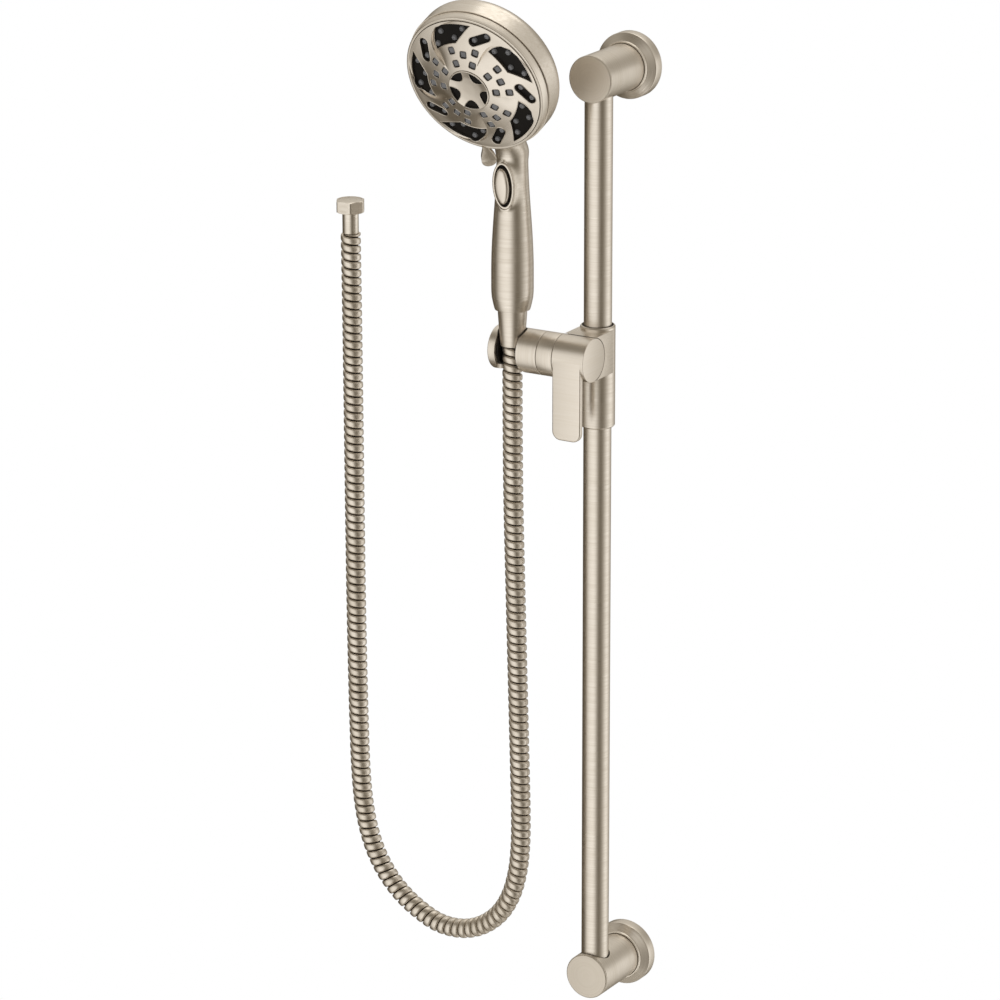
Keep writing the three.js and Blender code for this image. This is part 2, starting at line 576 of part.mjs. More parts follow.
function cradle() {
  const shaftHead = CRADLE_RIGHT - CRADLE_RIGHT_WIDTH / 2 + GAP;
  return without(solid(barrel(CRADLE_LEFT, CRADLE_RIGHT)), [
    solid(socketAt(rod(SOCKET_RADIUS, -BARREL_RADIUS - 1, BARREL_RADIUS + 1, MEDIUM))),
    solid(slot(SLOT_WIDTH / 2)),
    solid(barrel(SOCKET_X, CRADLE_RIGHT + 1, SHAFT_RADIUS + GAP, COARSE)),
    solid(barrel(SOCKET_X, shaftHead, SHAFT_HEAD_RADIUS + GAP, COARSE)),
  ]);
}

function cradleLiner() {
  const half = BARREL_RADIUS;
  const outer = joined([
    solid(socketAt(rod(SOCKET_RADIUS - GAP, -half, half, MEDIUM))),
    solid(slot(SLOT_WIDTH / 2 - GAP)),
  ]).intersect(solid(barrel(CRADLE_LEFT, CRADLE_RIGHT, BARREL_RADIUS - LINER_INSET)));
  const bore = turned([
    [0, -half - 1], [HOSE_WAY_RADIUS, -half - 1], [HOSE_WAY_RADIUS, CONE_SEAT - GAP],
    [coneRadius(CONE_SEAT) + GAP, CONE_SEAT - GAP], [coneRadius(half + 1) + GAP, half + 1], [0, half + 1],
  ], MEDIUM);
  return without(outer, [solid(socketAt(bore)), solid(slot(HOSE_SLOT_WIDTH / 2))]);
}

function slider() {
  const group = new THREE.Group();
  group.position.set(0, -BAR_TO_WALL, SLIDER_Z);
  glideRingPlaces().forEach(([low, high], end) => {
    piece(group, `glide_ring_${end ? "upper" : "lower"}`, "black",
      solid(sleeve(GLIDE_RING_OUTER, GLIDE_RING_INNER, low, high)));
  });
  piece(group, "slider_body", "nickel", sliderBody());
  piece(group, "brake_shoe", "acetal", brakeShoe());
  piece(group, "lock_lever", "nickel", lockLever());
  piece(group, "pivot_ring", "nickel", pivotRing());
  piece(group, "pivot_shaft", "steel", pivotShaft());
  piece(group, "friction_washer", "steel", washer());
  piece(group, "cradle", "nickel", cradle());
  piece(group, "cradle_liner", "black", cradleLiner());
  return group;
}

// ---------------------------------------------------------------- hose

function hose() {
  const group = new THREE.Group();
  const points = HOSE_ROUTE.map(([x, z]) => new THREE.Vector3(x, SOCKET_Y, z));
  const path = new THREE.CatmullRomCurve3(points, false, "centripetal");
  const sides = [...Array(8).keys()].map((side) => side * 45);
  const section = polygon(sides.map((turn) => polar(HOSE_RADIUS, turn)));
  section.holes.push(polygon(sides.map((turn) => polar(HOSE_BORE, turn))));
  piece(group, "hose", "steel",
    solid(new THREE.ExtrudeGeometry(section, { steps: HOSE_STEPS, extrudePath: path })));

  const [nutX, hoseEnd] = HOSE_ROUTE[HOSE_ROUTE.length - 1];
  const end = new THREE.Group();
  end.position.set(nutX, SOCKET_Y, hoseEnd + GAP);
  const floorTop = FERRULE_LENGTH + NUT_FLOOR;
  const flangeRadius = NUT_BORE - GAP;
  const ferrule = turned([
    [FERRULE_RADIUS, 0], [FERRULE_RADIUS, floorTop + GAP], [flangeRadius, floorTop + GAP],
    [flangeRadius, floorTop + GAP + FERRULE_FLANGE], [FERRULE_BORE, floorTop + GAP + FERRULE_FLANGE],
    [FERRULE_BORE, 0],
  ], COARSE);
  piece(end, "ferrule_lower", "nickel", solid(ferrule));
  const corner = NUT_ACROSS_FLATS / 2 / Math.cos(Math.PI / 6);
  const top = FERRULE_LENGTH + NUT_HEIGHT;
  const hexagon = polygon([0, 60, 120, 180, 240, 300].map((turn) => polar(corner, turn)));
  const face = NUT_ACROSS_FLATS / 2 - 0.4;
  const barrelled = turned([
    [0, FERRULE_LENGTH], [face, FERRULE_LENGTH], [corner, FERRULE_LENGTH + NUT_CHAMFER],
    [corner, top - NUT_CHAMFER], [face, top], [0, top],
  ], MEDIUM);
  const nut = without(solid(prism(hexagon, FERRULE_LENGTH, top)).intersect(solid(barrelled)), [
    solid(rod(FERRULE_RADIUS + GAP, 0, top, COARSE)),
    solid(rod(NUT_BORE, floorTop, top + 1, COARSE)),
  ]);
  piece(end, "hose_nut", "nickel", nut);
  const sealLow = floorTop + GAP + FERRULE_FLANGE + GAP;
  piece(end, "nut_washer", "rubber",
    solid(sleeve(NUT_BORE - GAP, FERRULE_BORE, sealLow, sealLow + SEAL_THICKNESS, COARSE)));
  group.add(end);
  return group;
}

// ---------------------------------------------------------------- handle

const handleRadius = (z) => {
  const taper = HANDLE_NECK_HEIGHT - HANDLE_TAPER_START;
  const fall = THREE.MathUtils.clamp((z - HANDLE_TAPER_START) / taper, 0, 1);
  const belly = 0.5 * (1 + Math.cos(Math.PI * fall));
  return HANDLE_NECK_RADIUS + (HANDLE_WIDEST_RADIUS - HANDLE_NECK_RADIUS) * belly;
};

const BEZEL_FRONT = handleRadius(BUTTON_HEIGHT - BEZEL_HALF_HEIGHT) + BEZEL_PROUD;
const BUTTON_FRONT = BEZEL_FRONT + BUTTON_PROUD;

// the handle's turned form, grown by an offset; its hollow is the same form, shrunk, from the floor up
function handleForm(offset, floor) {
  const rings = [
    [HANDLE_BASE_RADIUS, 0],
    [(HANDLE_BASE_RADIUS + HANDLE_SHOULDER_RADIUS) / 2, HANDLE_CHAMFER_TOP * 0.42],
    [HANDLE_SHOULDER_RADIUS, HANDLE_CHAMFER_TOP],
    [HANDLE_WIDEST_RADIUS, HANDLE_WIDEST_HEIGHT],
  ];
  for (let z = HANDLE_TAPER_START + 4; z < HANDLE_NECK_HEIGHT; z += 18) rings.push([handleRadius(z), z]);
  rings.push([HANDLE_NECK_RADIUS, HANDLE_NECK_HEIGHT]);
  const start = rings.findLast(([, z]) => z <= floor) ?? rings[0];
  const above = rings.filter(([, z]) => z > floor).map(([r, z]) => [r + offset, z]);
  const top = HANDLE_NECK_RADIUS + offset;
  const crown = [30, 60].map((angle) => polar(top, angle)).map(([r, z]) => [r, HANDLE_NECK_HEIGHT + z]);
  const tip = [0, HANDLE_NECK_HEIGHT + top];
  return turned([[0, floor], [start[0] + offset, floor], ...above, ...crown, tip]);
}

// frame of the spray head in the handle's frame: +Z out of the face, +Y up along it
const headFrame = new THREE.Matrix4()
  .makeTranslation(0, -HEAD_FORWARD, HEAD_HEIGHT)
  .multiply(new THREE.Matrix4().makeRotationX(Math.PI / 2 + THREE.MathUtils.degToRad(HEAD_TILT)));

// from the top of the handle into the back of the head
function neck(startRadius, endRadius) {
  const start = new THREE.Vector3(0, 0, HANDLE_NECK_HEIGHT);
  const end = new THREE.Vector3(0, 0, -NECK_END_DEPTH).applyMatrix4(headFrame);
  const length = start.distanceTo(end);
  const bulb = [60, 30].map((angle) => polar(endRadius, angle)).map(([r, rise]) => [r, length + rise]);
  const shape = turned([
    [0, -1], [startRadius, -1], [startRadius, 2], [endRadius, length], ...bulb.reverse(),
    [0, length + endRadius],
  ], COARSE);
  const turn = new THREE.Quaternion().setFromUnitVectors(
    new THREE.Vector3(0, 0, 1), end.clone().sub(start).normalize());
  return shape.applyQuaternion(turn).translate(start.x, start.y, start.z);
}

// back shell of the head, as [radius, depth behind the rim]; inset moves it inwards by a wall
function shellProfile(inset) {
  const edge = SHELL_RADIUS - inset;
  const back = SHELL_DEPTH - inset;
  const shoulder = SHELL_SHOULDER - inset * 0.6;
  const profile = [[0, back]];
  for (let i = 1; i <= 5; i += 1) {
    const angle = (Math.PI / 2) * (i / 6);
    profile.push([
      edge * Math.sin(angle) ** 0.72,
      shoulder + (back - shoulder) * Math.cos(angle) ** 0.86,
    ]);
  }
  profile.push([edge, shoulder]);
  return profile;
}

function handleShell() {
  const outside = [...shellProfile(0), [RING_BACK_RADIUS, SHELL_FRONT], [0, SHELL_FRONT]];
  const inside = [...shellProfile(SHELL_WALL), [RING_BACK_RADIUS - SHELL_WALL, SHELL_FRONT - 1],
    [0, SHELL_FRONT - 1]];
  const behind = (profile) => turned(profile.map(([r, depth]) => [r, -depth]), FINE)
    .applyMatrix4(headFrame);
  const well = prism(ellipse(WELL_HALF_WIDTH, WELL_HALF_HEIGHT), TUBE_RADIUS, 2 * BEZEL_FRONT, 10);
  return without(joined([
    solid(handleForm(0, 0)),
    solid(neck(HANDLE_NECK_RADIUS, NECK_HEAD_RADIUS)),
    solid(behind(outside)),
    solid(rod(SPIGOT_RADIUS, -SPIGOT_LENGTH, 1, COARSE)),
  ]), [
    solid(behind(inside)),
    solid(handleForm(-HANDLE_WALL, HANDLE_FLOOR)),
    solid(neck(NECK_BORE, NECK_BORE)),
    solid(rod(SPIGOT_BORE, -SPIGOT_LENGTH - 1, HANDLE_FLOOR + 1, COARSE)),
    solid(alongFront(well).translate(0, 0, BUTTON_HEIGHT)),
  ]);
}

function hoseCone() {
  const bottom = -CONE_LENGTH;
  const swivelTop = -SPIGOT_LENGTH - GAP - SEAL_THICKNESS;
  const cone = turned([
    [CONE_BOTTOM_RADIUS, bottom], [CONE_TOP_RADIUS, -GAP], [CONE_BORE, -GAP], [CONE_BORE, swivelTop],
    [HOSE_RADIUS + 2 * GAP, swivelTop], [HOSE_RADIUS + 2 * GAP, bottom],
  ], MEDIUM);
  return solid(cone);
}

function handleParts(group) {
  const bottom = -CONE_LENGTH;
  const washerTop = -SPIGOT_LENGTH - GAP;
  const washerLow = washerTop - SEAL_THICKNESS + GAP;
  piece(group, "hose_cone", "nickel", hoseCone());
  piece(group, "ferrule_upper", "steel",
    solid(sleeve(HOSE_RADIUS + GAP, FERRULE_BORE, bottom, washerLow - GAP, COARSE)));
  piece(group, "inlet_washer", "rubber",
    solid(sleeve(CONE_BORE - GAP, FERRULE_BORE, washerLow, washerTop, COARSE)));
  const regulator = washerTop + 2;
  piece(group, "flow_regulator", "acetal",
    solid(sleeve(SPIGOT_BORE - GAP, 1.6, regulator, regulator + 3, COARSE)));
  piece(group, "inlet_screen", "steel",
    solid(rod(SPIGOT_BORE - GAP, regulator + 3 + GAP, regulator + 4 + GAP, COARSE)));
  piece(group, "handle_shell", "nickel", handleShell());

  const tubeTop = HANDLE_NECK_HEIGHT - TUBE_BELOW_NECK;
  const stemHole = alongFront(rod(STEM_RADIUS + GAP, 0, 2 * TUBE_RADIUS, SMALL));
  piece(group, "water_tube", "acetal", without(
    solid(sleeve(TUBE_RADIUS, TUBE_RADIUS - TUBE_WALL, HANDLE_FLOOR + GAP, tubeTop, COARSE)),
    [solid(stemHole.translate(0, 0, BUTTON_HEIGHT))],
  ));
}

function pauseButton(group) {
  const onHandle = (geometry) => alongFront(geometry).translate(0, 0, BUTTON_HEIGHT);
  const oval = (width, height, low, high) => solid(onHandle(prism(ellipse(width, height), low, high, 10)));
  const bezelCuts = [
    solid(handleForm(GAP, -GAP)),
    solid(neck(HANDLE_NECK_RADIUS + GAP, NECK_HEAD_RADIUS + GAP)),
    oval(WELL_HALF_WIDTH, WELL_HALF_HEIGHT, 0, 2 * BEZEL_FRONT),
  ];
  piece(group, "button_bezel", "nickel",
    without(oval(BEZEL_HALF_WIDTH, BEZEL_HALF_HEIGHT, WELL_HALF_WIDTH, BEZEL_FRONT), bezelCuts));
  const sealFront = HANDLE_NECK_RADIUS;
  piece(group, "button_seal", "rubber", without(
    oval(WELL_HALF_WIDTH - SEAL_GAP, WELL_HALF_HEIGHT - SEAL_GAP, sealFront - 3, sealFront),
    [oval(BUTTON_HALF_WIDTH + SEAL_GAP, BUTTON_HALF_HEIGHT + SEAL_GAP, 0, 2 * sealFront)],
  ));

  const core = ellipse(BUTTON_HALF_WIDTH - BUTTON_ROUNDING, BUTTON_HALF_HEIGHT - BUTTON_ROUNDING);
  const rounded = new THREE.ExtrudeGeometry(core, {
    depth: BUTTON_DEPTH - 2 * BUTTON_ROUNDING, curveSegments: 10,
    bevelSize: BUTTON_ROUNDING, bevelThickness: BUTTON_ROUNDING, bevelSegments: 3,
  }).translate(0, 0, BUTTON_FRONT - BUTTON_DEPTH + BUTTON_ROUNDING);
  const pocketTop = BUTTON_FRONT - BUTTON_ROUNDING - 1.7;
  const pocket = rod(BUTTON_SPRING_RADIUS + 3 * GAP, 0, pocketTop, COARSE);
  piece(group, "pause_button", "nickel",
    without(solid(onHandle(rounded)), [solid(onHandle(pocket))]));
  piece(group, "valve_stem", "steel", solid(onHandle(rod(STEM_RADIUS, -1.5, pocketTop - GAP, SMALL))));
  const seat = TUBE_RADIUS + GAP;
  piece(group, "button_spring", "steel",
    solid(onHandle(helix(BUTTON_SPRING_RADIUS - 0.35, 0.35, seat, seat + BUTTON_SPRING_LENGTH, 3))));
}

// ---------------------------------------------------------------- spray head

const domeHeight = (r) => FACE_DOME * (1 - (r / (FACE_RADIUS + FACE_SEAM)) ** 2.4);

function domedSheet(inner, outer, front, back, count) {
  const radii = [...Array(count + 1).keys()].map((i) => inner + ((outer - inner) * i) / count);
  const top = radii.map((r) => [r, domeHeight(r) - front]);
  const bottom = radii.map((r) => [r, domeHeight(r) - back]).reverse();
  return solid(turned([...top, ...bottom], FINE));
}

// a cut or post of the spray pattern, repeated for each of the five blades
function bladeCopies(shape, low, high, curveSegments = 8) {
  return [...Array(BLADES).keys()].map((blade) => {
    const turn = (-2 * Math.PI * blade) / BLADES;
    return solid(prism(shape, low, high, curveSegments).rotateZ(turn));
  });
}

function windowShape() {
  const degrees = THREE.MathUtils.degToRad;
  const shape = new THREE.Shape();
  shape.moveTo(...polar(WINDOW_INNER_RADIUS, 130.5));
  shape.lineTo(...polar(WINDOW_INNER_RADIUS + WINDOW_TOE, 128));
  shape.lineTo(...polar(WINDOW_OUTER_RADIUS - WINDOW_NOSE, 121.8));
  shape.absarc(0, 0, WINDOW_OUTER_RADIUS, degrees(115), degrees(81), true);
  shape.lineTo(...polar(WINDOW_INNER_RADIUS + WINDOW_HEEL, 88.7));
  shape.absarc(0, 0, WINDOW_INNER_RADIUS, degrees(98.5), degrees(130.5), false);
  return shape;
}

function pillShape() {
  const [ax, ay] = polar(PILL_INNER_RADIUS, 77);
  const [bx, by] = polar(PILL_OUTER_RADIUS, 65);
  const heading = Math.atan2(by - ay, bx - ax);
  const shape = new THREE.Shape();
  shape.absarc(bx, by, PILL_RADIUS, heading - Math.PI / 2, heading + Math.PI / 2, false);
  shape.absarc(ax, ay, PILL_RADIUS, heading + Math.PI / 2, heading + 1.5 * Math.PI, false);
  return shape;
}

function portShape() {
  const degrees = THREE.MathUtils.degToRad;
  const shape = new THREE.Shape();
  shape.absarc(0, 0, PORT_OUTER_RADIUS, degrees(33), degrees(73), false);
  shape.absarc(0, 0, PORT_INNER_RADIUS, degrees(70), degrees(36), true);
  return shape;
}

// middles of one blade's five square nozzles, as [radius, degrees]
const SQUARES = [
  [SQUARE_INNER_RADIUS, 72], [SQUARE_INNER_RADIUS, 108], [SQUARE_MIDDLE_RADIUS, 90],
  [SQUARE_OUTER_RADIUS, 72], [SQUARE_OUTER_RADIUS, 108],
];
// middles of one blade's round nozzles: four in its window, two in its pill
const ROUNDS = [
  [WINDOW_OUTER_RADIUS - 5.2, 113.8], [WINDOW_OUTER_RADIUS - 4.9, 90.2],
  [WINDOW_INNER_RADIUS + 3.4, 100.9], [WINDOW_INNER_RADIUS + 3.1, 124.6],
  [PILL_INNER_RADIUS + 0.2, 76.7], [PILL_OUTER_RADIUS - 0.2, 65.3],
];

function squareShape(radius, degrees, size) {
  const [x, y] = polar(radius, degrees);
  const half = (size / 2) * Math.SQRT2;
  const corners = [45, 135, 225, 315].map((turn) => polar(half, turn + degrees));
  return polygon(corners.map(([cx, cy]) => [x + cx, y + cy]));
}

function facePlate() {
  const hubSeat = HUB_RADIUS + GAP;
  const seatTop = HUB_FRONT - HUB_THICKNESS - GAP;
  const radii = [hubSeat, 30, 43, FACE_RADIUS];
  const front = radii.map((r) => [r, domeHeight(r)]);
  const back = radii.slice().reverse().map((r) => [r, domeHeight(r) - FACE_WALL]);
  const centreHole = CENTRE_SCREW_RADIUS + GAP;
  const plate = turned([[centreHole, seatTop], [hubSeat, seatTop], ...front, ...back,
    [centreHole, seatTop - FACE_WALL]], FINE);
  const cuts = [
    ...bladeCopies(windowShape(), -9, 9, 4),
    ...bladeCopies(pillShape(), -9, 9, 4),
    ...SQUARES.flatMap(([r, turn]) => bladeCopies(squareShape(r, turn, SQUARE_SIZE), -9, 9)),
    solid(rod(CENTRE_SCREW_HEAD + 0.4, seatTop - 1, HUB_FRONT + 1, SMALL)),
  ];
  return without(solid(plate), cuts);
}

function nozzleMat() {
  const front = FACE_WALL + 2 * GAP;
  const sheet = domedSheet(HUB_RADIUS + 2, MAT_SPLIT_RADIUS - GAP, front, front + MAT_WALL, 2);
  const posts = SQUARES.flatMap(([r, turn]) => {
    const shape = squareShape(r, turn, SQUARE_SIZE - 2 * GAP);
    return bladeCopies(shape, domeHeight(r) - front - 1, domeHeight(r) + NOZZLE_PROUD);
  });
  return joined([sheet, ...posts]);
}

function windowMat() {
  const front = FACE_WALL + 2 * GAP;
  const sheet = domedSheet(MAT_SPLIT_RADIUS, FACE_RADIUS - 0.8, front, front + MAT_WALL, 2);
  const nozzles = ROUNDS.flatMap(([r, turn]) => {
    const low = domeHeight(r) - front - 1;
    return [...Array(BLADES).keys()].map((blade) => {
      const [x, y] = polar(r, turn - (360 * blade) / BLADES);
      return solid(rod(1.6, low, domeHeight(r) - 0.6, 6).translate(x, y, 0));
    });
  });
  return joined([sheet, ...nozzles]);
}

function centreCap() {
  const low = HUB_FRONT - HUB_THICKNESS;
  const cap = turned([
    [0, low], [HUB_RADIUS, low], [HUB_RADIUS, HUB_FRONT - 0.5], [HUB_RADIUS - 0.5, HUB_FRONT],
    [0, HUB_FRONT],
  ], MEDIUM);
  return without(solid(cap), bladeCopies(portShape(), low - 1, HUB_FRONT + 1, 3));
}

function selectorRing() {
  const inner = FACE_RADIUS + FACE_SEAM;
  const ledge = FACE_RADIUS + GAP;
  const ring = turned([
    [inner, 0], [RING_FRONT_RADIUS - 0.6, 0], [RING_FRONT_RADIUS, -0.6],
    [RING_BACK_RADIUS, -RING_DEPTH], [ledge, -RING_DEPTH], [ledge, DIVERTER_FRONT + 0.8],
    [inner, DIVERTER_FRONT + 1],
  ], FINE);
  const tab = new THREE.Shape();
  tab.moveTo(-TAB_NECK, -RING_FRONT_RADIUS + 1);
  tab.lineTo(-TAB_NECK, -RING_FRONT_RADIUS - 2);
  tab.lineTo(-TAB_RADIUS, -TAB_REACH);
  tab.absarc(0, -TAB_REACH, TAB_RADIUS, Math.PI, 2 * Math.PI, false);
  tab.lineTo(TAB_NECK, -RING_FRONT_RADIUS - 2);
  tab.lineTo(TAB_NECK, -RING_FRONT_RADIUS + 1);
  return joined([solid(ring), solid(prism(tab, 0.5 - TAB_THICKNESS, 0.5, 8))]);
}

function diverterDisc() {
  const back = DIVERTER_FRONT - DIVERTER_THICKNESS;
  const disc = solid(sleeve(FACE_RADIUS, MANIFOLD_BOSS_RADIUS + 1, back, DIVERTER_FRONT, FINE));
  const way = new THREE.Shape().absarc(...polar(DIVERTER_WAY, 100), DIVERTER_HOLE, 0, 2 * Math.PI, false);
  return without(disc, bladeCopies(way, back - 1, DIVERTER_FRONT + 1, 4));
}

function manifold() {
  const rim = RING_BACK_RADIUS - SHELL_WALL - GAP;
  const groove = rim - 1.8;
  const middle = (MANIFOLD_FRONT + MANIFOLD_BACK) / 2;
  const bossTop = HUB_FRONT - HUB_THICKNESS - GAP - FACE_WALL - GAP;
  const disc = turned([
    [0, MANIFOLD_BACK], [rim, MANIFOLD_BACK], [rim, middle - 0.9], [groove, middle - 0.9],
    [groove, middle + 0.9], [rim, middle + 0.9], [rim, MANIFOLD_FRONT],
    [MANIFOLD_BOSS_RADIUS, MANIFOLD_FRONT], [MANIFOLD_BOSS_RADIUS, bossTop], [0, bossTop],
  ], FINE);
  const bore = BALL_RADIUS + GAP;
  const bossBack = MANIFOLD_BACK - DETENT_DEPTH - 1;
  const detentBoss = rod(bore + DETENT_WALL, bossBack, MANIFOLD_BACK + 1, SMALL);
  const detentBore = rod(bore, MANIFOLD_BACK - DETENT_DEPTH, MANIFOLD_FRONT + 1, SMALL);
  const way = new THREE.Shape().absarc(...polar(MANIFOLD_WAY, 120), MANIFOLD_HOLE, 0, 2 * Math.PI, false);
  return without(joined([solid(disc), solid(detentBoss.translate(DETENT_RADIUS, 0, 0))]), [
    solid(detentBore.translate(DETENT_RADIUS, 0, 0)),
    solid(rod(CENTRE_SCREW_RADIUS + GAP, bossTop - CENTRE_SCREW_LENGTH, bossTop + 1, SMALL)),
    solid(rod(PIN_RADIUS + GAP, MANIFOLD_BACK - 1, MANIFOLD_FRONT, SMALL)),
    ...bladeCopies(way, MANIFOLD_BACK - 1, MANIFOLD_FRONT + 1, 4),
  ]);
}

function turbine() {
  const front = MANIFOLD_BACK - 1;
  const back = front - TURBINE_THICKNESS;
  const blades = [...Array(6).keys()].map((blade) => {
    const vane = block([2, TURBINE_RADIUS], [-0.6, 0.6], [back, front]);
    return solid(vane.rotateZ((Math.PI / 3) * blade));
  });
  return without(joined([solid(rod(4, back, front, COARSE)), ...blades]), [
    solid(rod(PIN_RADIUS + GAP, back - 1, front + 1, SMALL)),
  ]);
}

function sprayHead() {
  const head = new THREE.Group();
  head.position.set(0, -HEAD_FORWARD, HEAD_HEIGHT);
  head.rotation.x = Math.PI / 2 + THREE.MathUtils.degToRad(HEAD_TILT);
  piece(head, "face_plate", "nickel", facePlate());
  piece(head, "nozzle_mat", "silicone", nozzleMat());
  piece(head, "window_mat", "black", windowMat());
  piece(head, "centre_cap", "nickel", centreCap());
  const seatTop = HUB_FRONT - HUB_THICKNESS - GAP;
  const screwTip = seatTop - CENTRE_SCREW_LENGTH;
  const headLow = seatTop - 1 + GAP;
  piece(head, "centre_screw", "steel", solid(turned([
    [0, screwTip], [CENTRE_SCREW_RADIUS, screwTip], [CENTRE_SCREW_RADIUS, headLow],
    [CENTRE_SCREW_HEAD, headLow], [CENTRE_SCREW_HEAD, seatTop], [0, seatTop],
  ], SMALL)));
  piece(head, "selector_ring", "nickel", selectorRing());
  piece(head, "diverter_disc", "acetal", diverterDisc());
  piece(head, "head_manifold", "black", manifold());
  const middle = (MANIFOLD_FRONT + MANIFOLD_BACK) / 2;
  const seal = new THREE.TorusGeometry(RING_BACK_RADIUS - SHELL_WALL - 1.15, 0.55, 6, FINE);
  piece(head, "head_seal", "rubber", solid(seal.translate(0, 0, middle)));
  piece(head, "turbine_pin", "steel",
    solid(rod(PIN_RADIUS, MANIFOLD_BACK - TURBINE_THICKNESS - 3, MANIFOLD_FRONT - 2 * GAP, SMALL)));
  piece(head, "turbine", "acetal", turbine());
  const diverterBack = DIVERTER_FRONT - DIVERTER_THICKNESS;
  const ballMiddle = diverterBack - GAP - BALL_RADIUS;
  const ball = new THREE.SphereGeometry(BALL_RADIUS, SMALL, 6);
  piece(head, "detent_ball", "steel", solid(ball.translate(DETENT_RADIUS, 0, ballMiddle)));
  const springLow = MANIFOLD_BACK - DETENT_DEPTH + GAP;
  const coil = helix(BALL_RADIUS - 0.5, 0.35, springLow, ballMiddle - BALL_RADIUS - GAP, 3);
  piece(head, "detent_spring", "steel", solid(coil.translate(DETENT_RADIUS, 0, 0)));
  return head;
}

function handShower() {
  const group = new THREE.Group();
  group.position.set(SOCKET_X, SOCKET_Y, HANDLE_Z);
  handleParts(group);
  pauseButton(group);
  group.add(sprayHead());
  return group;
}

// ---------------------------------------------------------------- the whole object

const object = new THREE.Group();
object.add(rail(), slider(), hose(), handShower());

export default object;
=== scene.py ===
import json
import math

import bmesh
import bpy
import numpy as np
from mathutils import Matrix, Vector


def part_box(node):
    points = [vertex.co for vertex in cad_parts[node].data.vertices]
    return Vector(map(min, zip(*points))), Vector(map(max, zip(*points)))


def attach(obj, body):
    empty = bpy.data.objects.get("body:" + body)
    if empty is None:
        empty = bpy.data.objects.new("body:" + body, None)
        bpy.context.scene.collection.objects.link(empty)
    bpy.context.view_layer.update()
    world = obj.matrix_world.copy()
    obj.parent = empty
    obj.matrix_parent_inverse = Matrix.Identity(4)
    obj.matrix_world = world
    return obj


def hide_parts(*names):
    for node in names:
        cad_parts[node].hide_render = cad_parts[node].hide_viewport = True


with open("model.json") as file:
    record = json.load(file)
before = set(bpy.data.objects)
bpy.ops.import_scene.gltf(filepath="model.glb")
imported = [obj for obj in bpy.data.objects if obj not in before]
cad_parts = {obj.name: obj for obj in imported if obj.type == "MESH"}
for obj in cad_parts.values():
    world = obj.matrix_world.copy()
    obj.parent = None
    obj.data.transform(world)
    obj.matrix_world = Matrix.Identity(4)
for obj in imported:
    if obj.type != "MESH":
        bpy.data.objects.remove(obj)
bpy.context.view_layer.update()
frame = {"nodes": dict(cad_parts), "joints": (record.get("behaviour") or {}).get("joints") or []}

# Hand shower on a wall slide bar, with its hose. Pieces are shaped in millimetres and placed in metres.

scene = bpy.context.scene
joints = {joint["name"]: joint for joint in frame["joints"]}


def extent(node):
    """Lowest and highest corner of a CAD node, in millimetres."""
    low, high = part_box(node)
    return low * 1000, high * 1000


def middle_of(node):
    low, high = extent(node)
    return (low + high) / 2


def linked(name, data):
    """A new object in the scene that holds the data."""
    item = bpy.data.objects.new(name, data)
    scene.collection.objects.link(item)
    return item


def joint_place(name):
    return Vector(joints[name]["pos_m"]) * 1000


# ---- camera

lens = bpy.data.cameras.new("camera")
lens.lens = 179.9
camera = linked("camera", lens)
camera.location = (1.8610, -3.3467, 1.5863)
camera.rotation_euler = [math.radians(turn) for turn in (72.6295, 0.0837, 30.6067)]
scene.camera = camera

# ---- shaping


def rounded(bm, geom, radius, segments, affect="EDGES"):
    bmesh.ops.bevel(bm, geom=geom, offset=radius, offset_type="OFFSET", segments=segments, profile=0.5,
                    affect=affect, clamp_overlap=True, material=-1)


def chained(bm, points, closed=True):
    """Corners joined one after another by edges."""
    corners = [bm.verts.new(point) for point in points]
    for start, end in zip(corners, corners[1:] + (corners[:1] if closed else [])):
        bm.edges.new((start, end))
    return corners


def lifted(bm, geom, rise):
    bmesh.ops.translate(bm, vec=(0, 0, rise),
                        verts=[item for item in geom if isinstance(item, bmesh.types.BMVert)])


def turned(profile, steps=96):
    """Solid turned about Z. Corners are (radius, z) or (radius, z, rounding), and a profile that
    doesn't start on the axis is closed on itself."""
    bm = bmesh.new()
    corners = chained(bm, [(shape[0], 0, shape[1]) for shape in profile], closed=profile[0][0] > 0)
    for corner, shape in zip(corners, profile):
        if len(shape) > 2:
            rounded(bm, [corner], shape[2], 4, "VERTICES")
    bmesh.ops.spin(bm, geom=bm.verts[:] + bm.edges[:], cent=(0, 0, 0), axis=(0, 0, 1),
                   angle=2 * math.pi, steps=steps, use_merge=True)
    return sound(bm)


def sound(bm):
    """Doubles merged and faces turned outwards."""
    bmesh.ops.remove_doubles(bm, verts=bm.verts, dist=1e-4)
    bmesh.ops.recalc_face_normals(bm, faces=bm.faces)
    return bm


def capped(bm):
    """Open ends closed."""
    bmesh.ops.holes_fill(bm, edges=[edge for edge in bm.edges if edge.is_boundary])


def walled(radius, low, high, gap=2.5):
    """Points up a straight wall, close enough for a cut through it to stay smooth."""
    count = max(1, round((high - low) / gap))
    return [(radius, low + (high - low) * step / count) for step in range(count + 1)]


def rod(radius, low, high, steps=128):
    return turned([(0, low), (radius, low), (radius, high), (0, high)], steps)


def block(low, high, rounding=0.0):
    bm = bmesh.new()
    bmesh.ops.create_cube(bm, size=1)
    size = Vector(high) - Vector(low)
    bmesh.ops.scale(bm, vec=size, verts=bm.verts)
    bmesh.ops.translate(bm, vec=Vector(low) + size / 2, verts=bm.verts)
    if rounding:
        rounded(bm, bm.edges[:], rounding, 3)
    return bm


